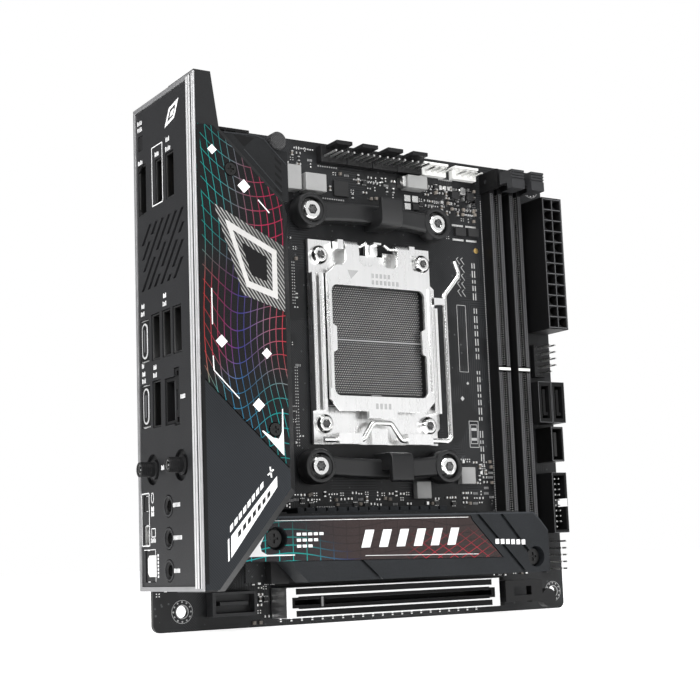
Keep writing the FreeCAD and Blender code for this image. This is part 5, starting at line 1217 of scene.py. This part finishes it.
def power_parts():
    """Bright pads and square parts near the top bracket and the right-hand chokes."""
    bright = Shape()
    for u, v in ((105.5, 153.6), (109.0, 153.6), (105.5, 150.5)):
        bright.box(u - 1.3, u + 1.3, v - 1.25, v + 1.25, 0, 0.5)
    for u0, u1 in ((125.4, 131.0), (131.8, 137.2)):
        bright.box(u0 + 0.2, u1 - 0.2, 144.9, 145.7, 0, 0.3)
        bright.box(u0 + 0.2, u1 - 0.2, 139.4, 140.2, 0, 0.3)
    for u in (120.0, 121.9, 123.8):
        bright.box(u, u + 1.3, 158.4, 160.0, 0, 1.0)
    bright.box(101.2, 102.7, 157.0, 160.8, 0.2, 4.2)
    bright.box(129.8, 132.0, 157.4, 159.9, 0, 1.4)
    bright.finish("bright_parts", "tin", slot="bright_steel", bevel=0.12)
    dark = Shape()
    dark.box(107.8, 110.4, 149.3, 151.8, 0, 0.9)
    dark.box(125.4, 128.8, 155.4, 158.2, 0, 1.8)
    dark.box(132.6, 135.6, 155.4, 158.4, 0, 1.8)
    dark.finish("dark_parts", "resin", slot="chip_resin", bevel=0.15)


def board_back():
    """Solder joints and small parts on the back of the board."""
    joints = Shape()
    back = -BOARD_THICK
    spots = []
    for left in MEMORY_LEFTS:
        for v in steps(26.0, 158.5, 1.7):
            spots += [(left + 1.4, v), (left + 4.6, v + 0.4)]
    for u in steps(46.0, 127.0, 2.0):
        spots += [(u, 5.4), (u + 0.5, 9.6)]
    for row in range(12):
        spots += [(162.4, 108.0 + 4.2 * row), (166.6, 108.0 + 4.2 * row)]
    for row in range(4):
        spots += [(17.0 + 4.2 * row, 159.6), (17.0 + 4.2 * row, 163.8)]
    for header in range(4):
        spots += [(68.2 + 10.95 * header + 2.54 * i, 164.6) for i in range(4)]
    for base in (88.0, 13.6):
        spots += [(161.7 + 2.54 * c, base + 1.27 + 2.54 * r) for c in range(2) for r in range(5)]
    for v in (144.1, 93.9, 72.3):
        spots += [(6.0 + 3.0 * i, v - 6.0 + 4.0 * j) for i in range(3) for j in range(4)]
    for u, v in spots:
        joints.lathe("w", (u, v, back), [(0.75, 0.0), (0.55, -0.25), (0.3, -0.8), (0.0, -0.9)], 8)
    joints.finish("solder_joints", "tin", slot="bright_steel", smooth=70)
    chance = random.Random(23)
    caps, blocks = Shape(), Shape()
    for u0, u1, v0, v1 in ((72.6, 100.4, 82.4, 113.6), (20.0, 56.0, 60.0, 140.0), (62.0, 134.0, 20.0, 44.0)):
        for v in steps(v0, v1, 2.6):
            for u in steps(u0, u1, 3.1):
                rear_slot = 42.5 < u < 52.5 and v < 38
                if chance.random() < 0.5 and not rear_slot:
                    blocks.box(u - 0.5, u + 0.5, v - 0.35, v + 0.35, back - 0.7, back)
                    caps.box(u - 0.85, u - 0.5, v - 0.38, v + 0.38, back - 0.72, back)
                    caps.box(u + 0.5, u + 0.85, v - 0.38, v + 0.38, back - 0.72, back)
    caps.finish("rear_part_terminals", "tin", slot="bright_steel")
    blocks.finish("rear_capacitors", "ceramic", slot="chip_resin", bevel=0.05)


bezel_fold_highlights()
small_port_faces()
panel_print()
port_insides()
cover_print()
cover_rhombus()
heatsink_front()
contact_field()
driver_recesses()
bracket("cooler_bracket_top", 143.06, 1)
bracket("cooler_bracket_bottom", 53.06, -1)
socket_marks()
memory_strips()
edge_sockets()
power_socket_edges()
graphics_slot_rails()
graphics_slot()
sink_print()
small_parts()
board_print()
power_parts()
board_back()


# ---- camera, floor and light
def make_floor():
    """Pale paper floor that the board stands on."""
    mesh = bpy.data.meshes.new("floor")
    low = CAD_BOX[0][2] - 0.0002
    side = 6.0
    mesh.from_pydata([(-side, -side, low), (side, -side, low), (side, side, low), (-side, side, low)],
                     [], [(0, 1, 2, 3)])
    floor = bpy.data.objects.new("floor", mesh)
    bpy.context.scene.collection.objects.link(floor)
    tree = Tree("floor_paper")
    grain = tree.noise(0.4, 2.0)
    paper = tree.mix(grain, rgba((0.90, 0.90, 0.90)), rgba((0.93, 0.93, 0.93)))
    tree.set(Base_Color=paper, Roughness=0.85, Specular_IOR_Level=0.1, Emission_Color=paper,
             Emission_Strength=0.92)
    mesh.materials.append(tree.material)


def make_world():
    """White backdrop; a dimmer room lights the board."""
    world = bpy.data.worlds.new("studio")
    world.use_nodes = True
    nodes, links = world.node_tree.nodes, world.node_tree.links
    backdrop = nodes["Background"]
    backdrop.inputs[0].default_value = (1.0, 1.0, 1.0, 1.0)
    room = nodes.new("ShaderNodeBackground")
    room.inputs[0].default_value = (0.97, 0.98, 1.0, 1.0)
    room.inputs[1].default_value = 0.24
    blend = nodes.new("ShaderNodeMixShader")
    rays = nodes.new("ShaderNodeLightPath")
    links.new(rays.outputs["Is Camera Ray"], blend.inputs[0])
    links.new(room.outputs[0], blend.inputs[1])
    links.new(backdrop.outputs[0], blend.inputs[2])
    links.new(blend.outputs[0], nodes["World Output"].inputs[0])
    bpy.context.scene.world = world


# name, place, aim, width and height of the panel, power in watts
LIGHTS = (
    ("front_right_softbox", (0.62, -1.05, 0.30), (0.02, 0.0, 0.08), 0.95, 0.85, 1.6),
    ("front_left_softbox", (-0.80, -0.85, 0.75), (0.0, 0.0, 0.08), 0.6, 0.6, 13.0),
    ("left_softbox", (-1.05, 0.10, 0.55), (-0.09, 0.0, 0.08), 0.5, 0.7, 3.0),
    ("top_softbox", (-0.10, -0.45, 1.0), (0.0, 0.0, 0.08), 0.6, 0.4, 7.0),
)


def make_lights():
    """Four softboxes: the wide dim one is what the bright metal mirrors."""
    for name, place, aim, wide, high, power in LIGHTS:
        light = bpy.data.lights.new(name, "AREA")
        light.shape = "RECTANGLE"
        light.size = wide
        light.size_y = high
        light.energy = power
        lamp = bpy.data.objects.new(name, light)
        lamp.location = place
        lamp.rotation_mode = "QUATERNION"
        lamp.rotation_quaternion = (Vector(aim) - Vector(place)).to_track_quat("-Z", "Y")
        bpy.context.scene.collection.objects.link(lamp)


def make_camera():
    """A camera low in front of the board, looking in from the rear connectors' side."""
    camera_data = bpy.data.cameras.new("camera")
    camera_data.sensor_width = 36.0
    camera_data.lens = 72.71
    camera_data.clip_start = 0.01
    camera = bpy.data.objects.new("camera", camera_data)
    ahead = Vector((0.5282, 0.8365, 0.1461)).normalized()
    up = Vector((-0.0466, -0.1433, 0.9886))
    right = ahead.cross(up).normalized()
    up = right.cross(ahead)
    turn = Matrix((right, up, -ahead)).transposed().to_4x4()
    camera.matrix_world = Matrix.Translation((-0.27647, -0.42402, 0.01493)) @ turn
    bpy.context.scene.collection.objects.link(camera)
    bpy.context.scene.camera = camera
    bpy.context.scene.view_settings.view_transform = "Standard"


make_floor()
make_world()
make_lights()
make_camera()
